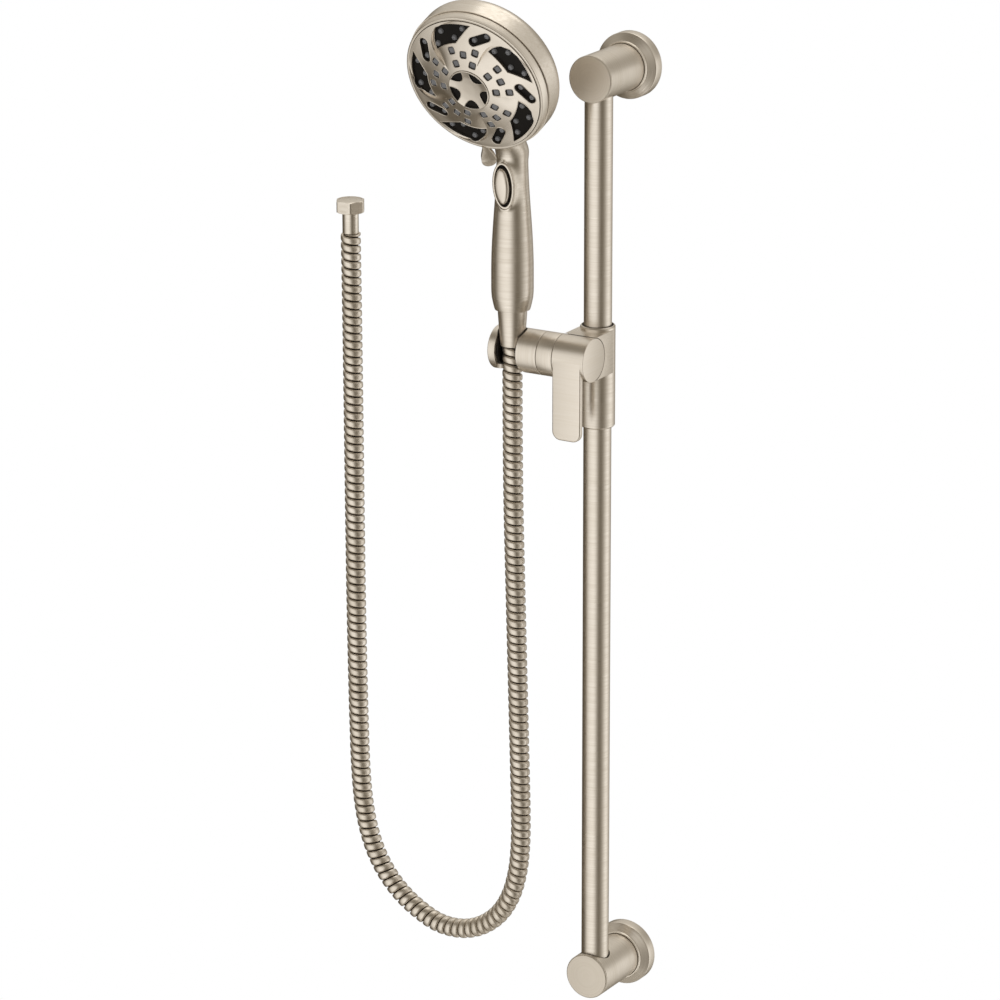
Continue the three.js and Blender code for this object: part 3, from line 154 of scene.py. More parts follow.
def plate(outline, low, high):
    """Straight-sided solid on an outline of (x, y) corners."""
    bm = bmesh.new()
    chained(bm, [(x, y, low) for x, y in outline])
    base = bmesh.ops.edgeloop_fill(bm, edges=bm.edges[:])["faces"]
    lifted(bm, bmesh.ops.extrude_face_region(bm, geom=base)["geom"], high - low)
    return sound(bm)


def upright(bm):
    """The edges that stand along Z."""
    return [edge for edge in bm.edges if abs(edge.verts[0].co.z - edge.verts[1].co.z) > 1]


def placed(bm, place):
    bm.transform(place)
    return bm


def about(place, turn=Matrix.Identity(4)):
    """A place at that point, turned about it."""
    return Matrix.Translation(place) @ turn


def as_mesh(bm, name="work"):
    """The shape as a mesh, which uses the shape up."""
    mesh = bpy.data.meshes.new(name)
    bm.to_mesh(mesh)
    bm.free()
    return mesh


def together(parts):
    """Several shapes in one mesh, left as they overlap."""
    whole = bmesh.new()
    for part in parts:
        mesh = as_mesh(part)
        whole.from_mesh(mesh)
        bpy.data.meshes.remove(mesh)
    return whole


def as_shown(holder):
    """The shape that an object has after its modifiers."""
    ready = holder.evaluated_get(bpy.context.evaluated_depsgraph_get())
    result = bmesh.new()
    result.from_mesh(ready.to_mesh())
    ready.to_mesh_clear()
    return result


def worked(bm, kind, tool=None, **settings):
    """The shape after one modifier, which may use a second shape as its tool."""
    made = [linked("work", as_mesh(shape)) for shape in [bm] + ([tool] if tool else [])]
    modifier = made[0].modifiers.new("work", kind)
    if tool:
        modifier.object = made[1]
    for setting, value in settings.items():
        setattr(modifier, setting, value)
    result = as_shown(made[0])
    for item in made:
        mesh = item.data
        bpy.data.objects.remove(item)
        bpy.data.meshes.remove(mesh)
    return result


def carved(bm, tool, operation="DIFFERENCE"):
    return worked(bm, "BOOLEAN", tool, operation=operation, solver="EXACT")


def polar(radius, degrees):
    angle = math.radians(degrees)
    return radius * math.cos(angle), radius * math.sin(angle)


def arc(radius, start, end, count):
    return [polar(radius, start + (end - start) * step / count) for step in range(count + 1)]


def oval(half_width, half_height, count):
    return [(half_width * math.cos(a), half_height * math.sin(a))
            for a in (math.pi * step / (count / 2) for step in range(count))]


def beads(outlines, radius, height):
    """Thin round rims along closed outlines, laid on the surface that height(x, y) gives."""
    curve = bpy.data.curves.new("work", "CURVE")
    curve.dimensions = "3D"
    curve.bevel_depth = radius
    curve.bevel_resolution = 2
    for outline in outlines:
        spline = curve.splines.new("POLY")
        spline.points.add(len(outline) - 1)
        for point, (x, y) in zip(spline.points, outline):
            point.co = (x, y, height(x, y), 1)
        spline.use_cyclic_u = True
    holder = linked("work", curve)
    result = as_shown(holder)
    bpy.data.objects.remove(holder)
    bpy.data.curves.remove(curve)
    return result


def finished(name, bm, place, body, material, replaces=(), crease=32):
    """The piece at its place in metres, shaded, and attached to its body."""
    bm.transform(Matrix.Scale(0.001, 4) @ place)
    mesh = as_mesh(bm, name)
    mesh.shade_smooth()
    mesh.set_sharp_from_angle(angle=math.radians(crease))
    mesh.materials.append(material)
    piece = linked(name, mesh)
    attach(piece, body)
    if replaces:
        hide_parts(*replaces)
    return piece


# shapes are made about their own Z: these lay it along +X, or along -Y with their Y upright
ALONG_X = Matrix.Rotation(math.radians(90), 4, "Y")
TO_FRONT = Matrix.Rotation(math.radians(90), 4, "X")

# ---- places

bar_low, bar_high = extent("slide_bar")
BAR = middle_of("slide_bar")
BAR_RADIUS = (bar_high.x - bar_low.x) / 2
TILT = joint_place("cradle_tilt")
BARREL = Vector((BAR.x, TILT.y, TILT.z))
SWIVEL = joint_place("handset_swivel")
NUT = joint_place("nut_spin")
FACE = joint_place("spray_selector")
spray = Vector(joints["spray_selector"]["axis"]).normalized()
across = Vector((1, 0, 0))
HEAD = Matrix((across, spray.cross(across), spray)).transposed().to_4x4()
HEAD.translation = FACE
HANDLE = about(SWIVEL)
POST_HEIGHT = {side: middle_of(f"post_{side}").z for side in ("lower", "upper")}

# ---- materials


def linear(colour):
    channels = [int(colour[place:place + 2], 16) / 255 for place in (1, 3, 5)]
    return [c / 12.92 if c <= 0.04045 else ((c + 0.055) / 1.055) ** 2.4 for c in channels] + [1]


def add(tree, kind, inputs, **settings):
    node = tree.nodes.new(kind)
    for setting, value in settings.items():
        setattr(node, setting, value)
    for socket, value in inputs.items():
        if isinstance(value, bpy.types.NodeSocket):
            tree.links.new(value, node.inputs[socket])
        else:
            node.inputs[socket].default_value = value
    return node


def new_material(name):
    material = bpy.data.materials.new(name)
    material.use_nodes = True
    tree = material.node_tree
    tree.nodes.clear()
    return material, tree


def brushed_nickel(name, place, rings=900, light="#E9E2D9", deep="#DAD2C6", rough=(0.24, 0.36),
                   bump=0.10):
    """Satin nickel plate brushed while the piece turned, so fine rings run round its axis (Z of place),
    or brushed straight across that axis when rings is 0. The strokes break a reflection into faint
    lines across it. Real ones are 0.1 mm apart, and these are 1.1 mm apart so that they show."""
    material, tree = new_material(name)
    coordinates = add(tree, "ShaderNodeTexCoord", {})
    centred = add(tree, "ShaderNodeMapping", {
        "Vector": coordinates.outputs["Object"],
        "Location": place.translation * 0.001,
        "Rotation": place.to_euler("XYZ"),
    }, vector_type="TEXTURE")
    flat = add(tree, "ShaderNodeVectorMath", {0: centred.outputs["Vector"], 1: (1, 1, 0)},
               operation="MULTIPLY")
    reach = add(tree, "ShaderNodeVectorMath", {0: flat.outputs["Vector"]}, operation="LENGTH")
    spread = add(tree, "ShaderNodeMath", {0: reach.outputs["Value"], 1: rings}, operation="MULTIPLY")
    drawn = add(tree, "ShaderNodeVectorMath", {0: centred.outputs["Vector"], 1: (28, 28, 900)},
                operation="MULTIPLY")
    strokes = add(tree, "ShaderNodeTexNoise", {
        "Vector": drawn.outputs["Vector"], "W": spread.outputs["Value"], "Scale": 1.0,
        "Detail": 3.0, "Roughness": 0.6,
    }, noise_dimensions="4D")
    cloud = add(tree, "ShaderNodeTexNoise", {
        "Vector": coordinates.outputs["Object"], "Scale": 22, "Detail": 2.0,
    })
    shade = add(tree, "ShaderNodeMapRange", {
        "Value": strokes.outputs["Fac"], "From Min": 0.3, "From Max": 0.7, "To Min": 0, "To Max": 1,
    })
    tone = add(tree, "ShaderNodeMix", {
        "Factor": shade.outputs["Result"], "A": linear(light), "B": linear(deep),
    }, data_type="RGBA")
    gloss = add(tree, "ShaderNodeMapRange", {
        "Value": strokes.outputs["Fac"], "From Min": 0.3, "From Max": 0.7,
        "To Min": rough[0], "To Max": rough[1],
    })
    worn = add(tree, "ShaderNodeMath", {0: cloud.outputs["Fac"], 1: 0.06, 2: gloss.outputs["Result"]},
               operation="MULTIPLY_ADD")
    lines = add(tree, "ShaderNodeBump", {
        "Height": strokes.outputs["Fac"], "Strength": bump, "Distance": 0.0004,
    })
    metal = add(tree, "ShaderNodeBsdfPrincipled", {
        "Base Color": tone.outputs["Result"], "Metallic": 1.0, "Roughness": worn.outputs["Value"],
        "Normal": lines.outputs["Normal"],
    })
    add(tree, "ShaderNodeOutputMaterial", {"Surface": metal.outputs["BSDF"]})
    return material


def satin(name, light, deep, metallic, rough, grain, bump, shine=0.5):
    """A finish without direction: moulded, blasted or plated, with its grain's size in mm."""
    material, tree = new_material(name)
    coordinates = add(tree, "ShaderNodeTexCoord", {})
    fine = add(tree, "ShaderNodeTexNoise", {
        "Vector": coordinates.outputs["Object"], "Scale": 1000 / grain, "Detail": 3.0, "Roughness": 0.55,
    })
    cloud = add(tree, "ShaderNodeTexNoise", {
        "Vector": coordinates.outputs["Object"], "Scale": 35, "Detail": 2.0,
    })
    both = add(tree, "ShaderNodeMath", {0: fine.outputs["Fac"], 1: 0.5, 2: cloud.outputs["Fac"]},
               operation="MULTIPLY_ADD")
    shade = add(tree, "ShaderNodeMapRange", {
        "Value": both.outputs["Value"], "From Min": 0.45, "From Max": 1.05,
    })
    tone = add(tree, "ShaderNodeMix", {
        "Factor": shade.outputs["Result"], "A": linear(light), "B": linear(deep),
    }, data_type="RGBA")
    gloss = add(tree, "ShaderNodeMapRange", {
        "Value": both.outputs["Value"], "From Min": 0.45, "From Max": 1.05,
        "To Min": rough[0], "To Max": rough[1],
    })
    skin = add(tree, "ShaderNodeBump", {
        "Height": fine.outputs["Fac"], "Strength": bump, "Distance": 0.0002,
    })
    surface = add(tree, "ShaderNodeBsdfPrincipled", {
        "Base Color": tone.outputs["Result"], "Metallic": metallic, "Roughness": gloss.outputs["Result"],
        "Normal": skin.outputs["Normal"], "Specular IOR Level": shine,
    })
    add(tree, "ShaderNodeOutputMaterial", {"Surface": surface.outputs["BSDF"]})
    return material


# brushed nickel, one for each axis that pieces were turned and brushed about
NICKEL_BAR = brushed_nickel("brushed_nickel_bar", about(BAR))
NICKEL_POST = {
    side: brushed_nickel(f"brushed_nickel_post_{side}", about((BAR.x, BAR.y, height), TO_FRONT))
    for side, height in POST_HEIGHT.items()
}
# the end of each post is faced rather than brushed: a duller and more even disc
NICKEL_CAP = {
    side: brushed_nickel(f"faced_nickel_cap_{side}", about((BAR.x, 0, height), TO_FRONT),
                         light="#DCD4C9", deep="#D8D0C4", rough=(0.42, 0.48), bump=0.02)
    for side, height in POST_HEIGHT.items()
}
NICKEL_BARREL = brushed_nickel("brushed_nickel_barrel", about(BARREL, ALONG_X), deep="#E0D8CD",
                               rough=(0.26, 0.34), bump=0.06)
NICKEL_LEVER = brushed_nickel("brushed_nickel_lever", about(BARREL), rings=0, light="#E5DED5",
                              deep="#E1D9CE", rough=(0.28, 0.32), bump=0.025)
NICKEL_HANDLE = brushed_nickel("brushed_nickel_handle", HANDLE)
NICKEL_RING = brushed_nickel("brushed_nickel_ring", HEAD)
NICKEL_NUT = brushed_nickel("brushed_nickel_nut", about(NUT))
# nickel plate over a blasted moulding: no lines, only a soft even sheen
NICKEL_FACE = satin("satin_nickel_plate_blasted", "#E9E2D9", "#DBD3C8", 1.0, (0.26, 0.34), 0.6, 0.05)
# nickel plate over a polished rolled strip: brighter and sharper than the brushed pieces
NICKEL_STRIP = satin("nickel_plated_strip_rolled", "#EAE3DA", "#D5CCBF", 1.0, (0.30, 0.42), 1.2, 0.06)
# turned stainless steel, a little bluer than the nickel
STEEL = satin("stainless_steel_turned", "#BFC0BE", "#A9AAA8", 1.0, (0.25, 0.4), 0.5, 0.08)
# nylon moulded in a polished tool, near black and slightly glossy
BLACK_NYLON = satin("black_nylon_moulded", "#1A1510", "#110E0A", 0.0, (0.4, 0.55), 0.5, 0.08, shine=0.3)
# silicone rubber from a smooth mould: black and soft, with a dull gloss
BLACK_SILICONE = satin("black_silicone_moulded", "#140F0B", "#0D0A07", 0.0, (0.5, 0.62), 0.4, 0.05,
                       shine=0.2)
# the same rubber in grey: the lit crown of each nozzle is paler than its side
GREY_SILICONE = satin("grey_silicone_moulded", "#85878D", "#717378", 0.0, (0.38, 0.5), 0.5, 0.06)
# natural acetal, moulded: off-white and waxy
ACETAL = satin("acetal_moulded", "#DEDBD2", "#CFCBC0", 0.0, (0.35, 0.5), 0.8, 0.05)
# sealing rubber, moulded and dull
RUBBER = satin("nitrile_rubber_moulded", "#262321", "#1B1917", 0.0, (0.6, 0.75), 0.6, 0.12)

# ---- hose

# the route of its middle in the plane of the socket, as (x, z), from the cone to the nut
HOSE_ROUTE = [
    (-56.3, 531.2), (-56.3, 495), (-56.1, 450), (-55.5, 400), (-54.4, 355), (-53.2, 310), (-52, 265),
    (-50.8, 220), (-49.6, 175), (-48.8, 140), (-49.2, 112), (-52, 88), (-58, 67.5), (-67.5, 51),
    (-80, 39), (-95, 31), (-111.5, 27.8), (-128.5, 29.5), (-145, 36.5), (-161, 47), (-175, 61),
    (-186.5, 79), (-194, 99), (-198.5, 121), (-201, 148), (-202.4, 190), (-203.3, 240), (-204, 300),
    (-204.3, 360), (-204.5, 420), (-204.7, 480), (-205, 540), (-205.3, 580), (-205.5, 602.7),
]
HOSE_RADIUS = 8.0
HOSE_PITCH = 6.6
HOSE_FACETS = 32
SPUN_TURNS = 8
# one turn of the interlocked strip, as (share of the pitch, depth under the crown): a rounded band, the
# open slot between it and the next turn, and the edge that rises out of the slot
STRIP = [
    (0, 0.5), (0.06, 0.2), (0.16, 0.02), (0.36, 0), (0.56, 0.08), (0.68, 0.35), (0.74, 0.9), (0.75, 2.7),
    (0.9, 2.7), (0.91, 1.1), (0.95, 0.8), (1, 0.5),
]


def hose_line(step=2.0):
    """Evenly spaced points along the route, and their headings."""
    points = [Vector((x, SWIVEL.y, z)) for x, z in HOSE_ROUTE]
    points = [2 * points[0] - points[1]] + points + [2 * points[-1] - points[-2]]
    dense = []
    for a, b, c, d in zip(points, points[1:], points[2:], points[3:]):
        gaps = [max((q - p).length ** 0.5, 1e-6) for p, q in ((a, b), (b, c), (c, d))]
        leave = ((b - a) / gaps[0] - (c - a) / (gaps[0] + gaps[1]) + (c - b) / gaps[1]) * gaps[1]
        arrive = ((c - b) / gaps[1] - (d - b) / (gaps[1] + gaps[2]) + (d - c) / gaps[2]) * gaps[1]
        for share in (i / 24 for i in range(24)):
            t2, t3 = share ** 2, share ** 3
            dense.append((2 * t3 - 3 * t2 + 1) * b + (t3 - 2 * t2 + share) * leave
                         + (3 * t2 - 2 * t3) * c + (t3 - t2) * arrive)
    dense.append(points[-2])
    line = np.array(dense)
    run = np.concatenate([[0], np.cumsum(np.linalg.norm(np.diff(line, axis=0), axis=1))])
    places = np.linspace(0, run[-1], round(run[-1] / step) + 1)
    even = np.stack([np.interp(places, run, line[:, axis]) for axis in range(3)], axis=1)
    heading = np.gradient(even, places, axis=0)
    return places, even, heading / np.linalg.norm(heading, axis=1)[:, None]


def bent(bm, places, line, heading):
    """A straight shape that stands on Z, bent along the route."""
    flat = np.array([vert.co for vert in bm.verts])
    middle = np.stack([np.interp(flat[:, 2], places, line[:, axis]) for axis in range(3)], axis=1)
    along = np.stack([np.interp(flat[:, 2], places, heading[:, axis]) for axis in range(3)], axis=1)
    turned_out = middle + flat[:, :1] * np.cross([0, 1, 0], along) + flat[:, 1:2] * np.array([0, 1, 0])
    for vert, co in zip(bm.verts, turned_out):
        vert.co = co
    return bm


def strip_screw(length):
    """The strip wound as a left-hand screw and cut off square at both ends."""
    bm = bmesh.new()
    chained(bm, [(HOSE_RADIUS - depth, 0, (share - 1) * HOSE_PITCH) for share, depth in STRIP],
            closed=False)
    bmesh.ops.spin(bm, geom=bm.verts[:] + bm.edges[:], cent=(0, 0, 0), axis=(0, 0, 1),
                   dvec=(0, 0, HOSE_PITCH / HOSE_FACETS), angle=-2 * math.pi * SPUN_TURNS,
                   steps=HOSE_FACETS * SPUN_TURNS)
    spun = bm.verts[:] + bm.edges[:] + bm.faces[:]
    for lift in range(1, math.ceil((length / HOSE_PITCH + 1) / SPUN_TURNS)):
        lifted(bm, bmesh.ops.duplicate(bm, geom=spun)["geom"], lift * SPUN_TURNS * HOSE_PITCH)
    bmesh.ops.remove_doubles(bm, verts=bm.verts, dist=1e-3)
    for height, normal in ((0, (0, 0, -1)), (length, (0, 0, 1))):
        bmesh.ops.bisect_plane(bm, geom=bm.verts[:] + bm.edges[:] + bm.faces[:], dist=1e-5,
                               plane_co=(0, 0, height), plane_no=normal, clear_outer=True)
    bmesh.ops.remove_doubles(bm, verts=bm.verts, dist=1e-3)
    capped(bm)
    bmesh.ops.recalc_face_normals(bm, faces=bm.faces)
    return bm


hose_route = hose_line()
hose_places, hose_middle, _ = hose_route
hose = finished("hose_strip", bent(strip_screw(hose_places[-1]), *hose_route), Matrix.Identity(4),
                "hose_end", NICKEL_STRIP, ["hose"], crease=42)
# the inner hose that carries the water, made black so that the strip's open slot shows a dark line: a real
# part, and its black is painted shade standing in for the shadow in the slot
core = turned([(0, 0.5), *walled(HOSE_RADIUS - 2.15, 0.5, hose_places[-1] - 0.5),
               (0, hose_places[-1] - 0.5)], 24)
inner_hose_slot_shade = finished("inner_hose_extruded", bent(core, *hose_route), Matrix.Identity(4), "hose_end",
                      BLACK_SILICONE)

# ---- ferrule and nut on the hose's end

FERRULE_LENGTH = 17.3
nut_low, nut_high = extent("hose_nut")
nut_foot = about((NUT.x, NUT.y, nut_low.z))
ferrule = finished("ferrule_turned", turned([
    (4.6, -FERRULE_LENGTH), (6.5, -FERRULE_LENGTH, 0.4), (6.5, 1.7), (9, 1.7), (9, 3.2), (4.6, 3.2),
], 64), nut_foot, "hose_end", NICKEL_NUT, ["ferrule_lower"])

NUT_CORNER = (nut_high.x - nut_low.x) / 2
NUT_HEIGHT = nut_high.z - nut_low.z
NUT_BORE = 9.3
hexagon = plate([polar(NUT_CORNER * 0.975, turn) for turn in range(0, 360, 60)], 0, NUT_HEIGHT)
rounded(hexagon, upright(hexagon), 1.1, 4)
nut = carved(hexagon, turned([
    (0, 0), (NUT_CORNER - 2.1, 0, 0.2), (NUT_CORNER + 0.05, 1.3), (NUT_CORNER + 0.05, NUT_HEIGHT - 1.3),
    (NUT_CORNER - 2.1, NUT_HEIGHT, 0.2), (0, NUT_HEIGHT),
], 96), "INTERSECT")
nut = carved(nut, turned([
    (0, -1), (6.8, -1), (6.8, 1.4), (NUT_BORE, 1.4), (NUT_BORE, NUT_HEIGHT + 0.5), (0, NUT_HEIGHT + 0.5),
], 96))
# the half-inch pipe thread in its mouth: a little over two turns
THREAD_PITCH = 1.81
thread = bmesh.new()
chained(thread, [(NUT_BORE + 0.1, 0, 3.9), (NUT_BORE - 0.7, 0, 4.35), (NUT_BORE - 0.7, 0, 4.55),
                 (NUT_BORE + 0.1, 0, 5.0)])
bmesh.ops.spin(thread, geom=thread.verts[:] + thread.edges[:], cent=(0, 0, 0), axis=(0, 0, 1),
               dvec=(0, 0, THREAD_PITCH / 48), angle=2 * math.pi * 2.4, steps=115)
capped(thread)
bmesh.ops.recalc_face_normals(thread, faces=thread.faces)
hose_nut = finished("hose_nut_hexagon", together([nut, thread]), nut_foot, "nut",
                    NICKEL_NUT, ["hose_nut"], crease=25)

nut_washer = finished("nut_washer_moulded", turned([
    (4.6, 0, 0.3), (9, 0, 0.3), (9, 2, 0.4), (7.6, 2, 0.3), (7.2, 1.7), (6.2, 1.7), (5.8, 2, 0.3),
    (4.6, 2, 0.3),
], 64), about((NUT.x, NUT.y, extent("nut_washer")[0].z)), "nut", RUBBER,
    ["nut_washer"])

# the plug that keeps the thread clean until the nut is fitted, just under its rim
nut_plug = finished("nut_plug_pressed", turned([
    (0, NUT_HEIGHT - 0.7), (NUT_BORE - 0.1, NUT_HEIGHT - 0.7), (NUT_BORE - 0.1, NUT_HEIGHT - 0.15, 0.15),
    (0, NUT_HEIGHT - 0.15),
], 64), nut_foot, "nut", NICKEL_NUT)

# ---- bar and wall ends

finished("slide_bar_tube", turned([
    (BAR_RADIUS - 1.2, bar_low.z), (BAR_RADIUS, bar_low.z, 0.3), *walled(BAR_RADIUS, 0, 740, 20),
    (BAR_RADIUS, bar_high.z, 0.3), (BAR_RADIUS - 1.2, bar_high.z),
], 128), about((BAR.x, BAR.y, 0)), "rail", NICKEL_BAR, ["slide_bar"])

# the wall screws stop short in the wall, so that no tip shows beside a flange
SCREW_TIP = -18.4
SCREW_PITCH = 1.5
SCREW_CORE, SCREW_CREST = 1.5, 2.1
for name in [f"wall_screw_{side}_{letter}" for side in POST_HEIGHT for letter in "ab"]:
    screw_low, screw_high = extent(name)
    head, head_radius = -screw_low.y, (screw_high.x - screw_low.x) / 2
    threads = [corner for turn in range(11) for corner in (
        (SCREW_CREST, -0.6 - SCREW_PITCH * turn), (SCREW_CORE, -1.3 - SCREW_PITCH * turn))]
    finished(f"{name}_rolled", turned([
        (0, head - 1.3), (1.3, head - 1.3), (1.3, head, 0.1), (head_radius, head - 1.2, 0.3),
        (head_radius, head - 1.7, 0.2), (SCREW_CORE, head - 3.2), *threads, (0, SCREW_TIP),
    ], 32), about((middle_of(name).x, 0, middle_of(name).z), TO_FRONT), "rail",
        STEEL, [name])

FLANGE_INSET = 0.7  # how much less each flange's radius is than in the CAD
for side, upwards in (("lower", 1), ("upper", -1)):
    post_low, post_high = extent(f"post_{side}")
    cap_low, cap_high = extent(f"post_cap_{side}")
    flange_low, flange_high = extent(f"flange_{side}")
    place = about((BAR.x, 0, POST_HEIGHT[side]), TO_FRONT)
    back, front, radius = -post_high.y, -post_low.y, (post_high.x - post_low.x) / 2
    bar_way = about((0, 0, -BAR.y), Matrix.Rotation(math.radians(-90 * upwards), 4, "X"))

    post = turned([(0, back), (radius, back), *walled(radius, 34, 64, 1.5), (radius, front, 0.25),
                   (0, front)], 192)
    post = carved(post, placed(rod(12.1, -11, 30), bar_way))
    finished(f"post_{side}_turned", post, place, "rail", NICKEL_POST[side],
             [f"post_{side}"])
    finished(f"bar_bushing_{side}_moulded", turned([
        (11.3, 9.1), (12, 9.1), (12, 13.4, 0.2), (11.3, 13.4, 0.2),
    ], 96), place @ bar_way, "rail", BLACK_NYLON, [f"bar_bushing_{side}"])

    nose = -cap_low.y
    finished(f"post_cap_{side}_turned", turned([
        (0, -cap_high.y), (radius, -cap_high.y, 0.2), (radius, nose - 0.8, 0.2),
        (radius - 0.8, nose, 0.3), (0, nose),
    ], 128), place, "rail", NICKEL_CAP[side], [f"post_cap_{side}"])

    rim = (flange_high.x - flange_low.x) / 2 - FLANGE_INSET
    top = -flange_low.y
    finished(f"flange_{side}_turned", turned([
        (rim, 0, 0.3), (rim, 9.3, 0.7), (radius + 1.7, top - 1.7, 0.3), (radius + 1.3, top, 0.25),
        (radius + 0.3, top, 0.2), (radius + 0.3, top - 4.6), (rim - 2.4, 6.9), (rim - 2.4, 0),
    ], 128), place, "rail", NICKEL_POST[side], [f"flange_{side}"])

# ---- slider

SLEEVE_RADIUS = 13.9
SLEEVE_TOP = 20.1
SLEEVE_BOTTOM = -62.6
BARREL_RADIUS = 17.5
BARREL_GAP = 0.35
HUB_LEFT, HUB_RIGHT = -14.2, 14
at_bar = about((BAR.x, BAR.y, BARREL.z))
at_barrel = about(BARREL)
forward = BARREL.y - BAR.y

sleeve = turned([
    (0, SLEEVE_BOTTOM), (SLEEVE_RADIUS - 1.2, SLEEVE_BOTTOM, 0.2),
    (SLEEVE_RADIUS, SLEEVE_BOTTOM + 1.2, 0.3), *walled(SLEEVE_RADIUS, -22, 19, 2),
    (SLEEVE_RADIUS - 0.7, SLEEVE_TOP, 0.3), (0, SLEEVE_TOP),
], 192)
shoulder = block((HUB_LEFT, forward, -BARREL_RADIUS), (HUB_RIGHT, 0, BARREL_RADIUS), 0.35)
sleeve_bore = turned([
    (0, -70), (12.6, -70), (12.6, -52.5), (11.8, -52.5), (11.8, 10), (12.6, 10), (12.6, 30), (0, 30),
], 128)
barrel_way = placed(rod(BARREL_RADIUS + BARREL_GAP, -40, 40, 192), about((0, forward, 0), ALONG_X))
body = carved(carved(carved(sleeve, shoulder, "UNION"), sleeve_bore), barrel_way)
finished("slider_body_cast", body, at_bar, "slider", NICKEL_BAR, ["slider_body"])

for end in ("lower", "upper"):
    low, high = extent(f"glide_ring_{end}")
    finished(f"glide_ring_{end}_moulded", turned([
        (11.35, low.z - BARREL.z, 0.2), (12.3, low.z - BARREL.z, 0.2), (12.3, high.z - BARREL.z, 0.2),
        (11.35, high.z - BARREL.z, 0.2),
    ], 96), at_bar, "carriage", BLACK_NYLON, [f"glide_ring_{end}"])

PADDLE_LEFT, PADDLE_RIGHT = HUB_LEFT + 0.5, HUB_RIGHT - 2.3
PADDLE_DROP = 63.7
hub = placed(turned([
    (0, HUB_LEFT), (BARREL_RADIUS, HUB_LEFT, 0.4),
    *walled(BARREL_RADIUS, HUB_LEFT + 1, HUB_RIGHT - 1, 1.5), (BARREL_RADIUS, HUB_RIGHT, 0.45),
    (0, HUB_RIGHT),
], 192), ALONG_X)
PADDLE_BACK = BARREL_RADIUS - 4.5
paddle = plate([(PADDLE_LEFT, 0), (PADDLE_LEFT, -PADDLE_DROP), (PADDLE_RIGHT, -PADDLE_DROP),
                (PADDLE_RIGHT, 0)], PADDLE_BACK, BARREL_RADIUS)
rounded(paddle, [edge for edge in upright(paddle) if edge.verts[0].co.y < -PADDLE_DROP + 1], 7.2, 12)
for level, radius, segments in ((BARREL_RADIUS, 1.5, 5), (PADDLE_BACK, 0.6, 3)):
    rounded(paddle, [edge for edge in paddle.edges
                     if all(abs(vert.co.z - level) < 0.01 for vert in edge.verts)
                     and any(vert.co.y <= -0.01 for vert in edge.verts)], radius, segments)
lever = carved(hub, placed(paddle, TO_FRONT), "UNION")
finished("lock_lever_cast", lever, at_barrel, "lever", NICKEL_LEVER, ["lock_lever"])

ring_low, ring_high = extent("pivot_ring")
cradle_low, cradle_high = extent("cradle")
finished("pivot_ring_turned", turned([
    (5.3, ring_low.x), (BARREL_RADIUS, ring_low.x, 0.35), (BARREL_RADIUS, ring_high.x, 0.35),
    (5.3, ring_high.x),
], 192), at_barrel @ ALONG_X, "slider", NICKEL_BARREL, ["pivot_ring"])

# the cradle's socket for the handle's cone, and the slot in front that lets the hose in
SOCKET_RADIUS = 11.9
SLOT_HALF = 9.65
SOCKET = about((SWIVEL.x, SWIVEL.y - BARREL.y, 0))
socket_way = placed(rod(SOCKET_RADIUS, -30, 30), SOCKET)
slot_way = placed(block((-SLOT_HALF, -35, -30), (SLOT_HALF, 0, 30)), SOCKET)
cradle = placed(turned([
    (0, cradle_low.x), (BARREL_RADIUS, cradle_low.x, 0.6), *walled(BARREL_RADIUS, -71, -30, 1.5),
    (BARREL_RADIUS, cradle_high.x, 0.35), (0, cradle_high.x),
], 192), ALONG_X)
cradle = carved(carved(cradle, socket_way), slot_way)
finished("cradle_turned", cradle, at_barrel, "cradle", NICKEL_BARREL, ["cradle"])

liner = carved(placed(rod(SOCKET_RADIUS - 0.2, -17.5, 17.5), SOCKET),
               placed(block((0.25 - SLOT_HALF, -35, -25), (SLOT_HALF - 0.25, 0, 25)), SOCKET), "UNION")
liner = carved(liner, placed(rod(BARREL_RADIUS - 3.4, cradle_low.x, cradle_high.x), ALONG_X), "INTERSECT")
liner = carved(liner, placed(turned([
    (0, -20), (9.1, -20), (9.1, 3.8), (10.1, 3.8), (11.4, 20), (0, 20),
], 96), SOCKET))
liner = carved(liner, placed(block((-8.3, -35, -30), (8.3, 0, 30)), SOCKET))
finished("cradle_liner_moulded", liner, at_barrel, "cradle", BLACK_NYLON,
         ["cradle_liner"])

# ---- handle and back of the head

finished("hose_cone_turned", turned([
    (8.4, -29.5), (9.8, -29.5, 0.6), (11.7, -0.3, 0.3), (8.4, -0.3),
], 128), HANDLE, "hand_shower", NICKEL_HANDLE, ["hose_cone"])

NECK_HEIGHT = 126
NECK_RADIUS = 12.3
NECK_HEAD_RADIUS = 15.5
SHELL_RADIUS = 61
BUTTON_HEIGHT = 101.6
BOSS_FRONT = 13.3
BOSS_HALVES = (9.8, 18.6)
LEAN = math.radians(4)  # of the button's oval, its top to the left
BUTTON_PLACE = Matrix.Translation((0, 0, BUTTON_HEIGHT)) @ TO_FRONT @ Matrix.Rotation(LEAN, 4, "Z")
head_in_handle = about(-SWIVEL, HEAD)
neck_start = np.array([0, 0, NECK_HEIGHT], float)
neck_end = np.array(head_in_handle @ Vector((0, 0, -22.7)))
# the back of the head from its middle out to its rim, as (radius, z)
shell_line = np.array([(SHELL_RADIUS * math.sin(a) ** 0.72, -20 - 20.2 * math.cos(a) ** 0.86)
                       for a in (math.pi / 2 * i / 48 for i in range(49))] + [(SHELL_RADIUS, -2)])


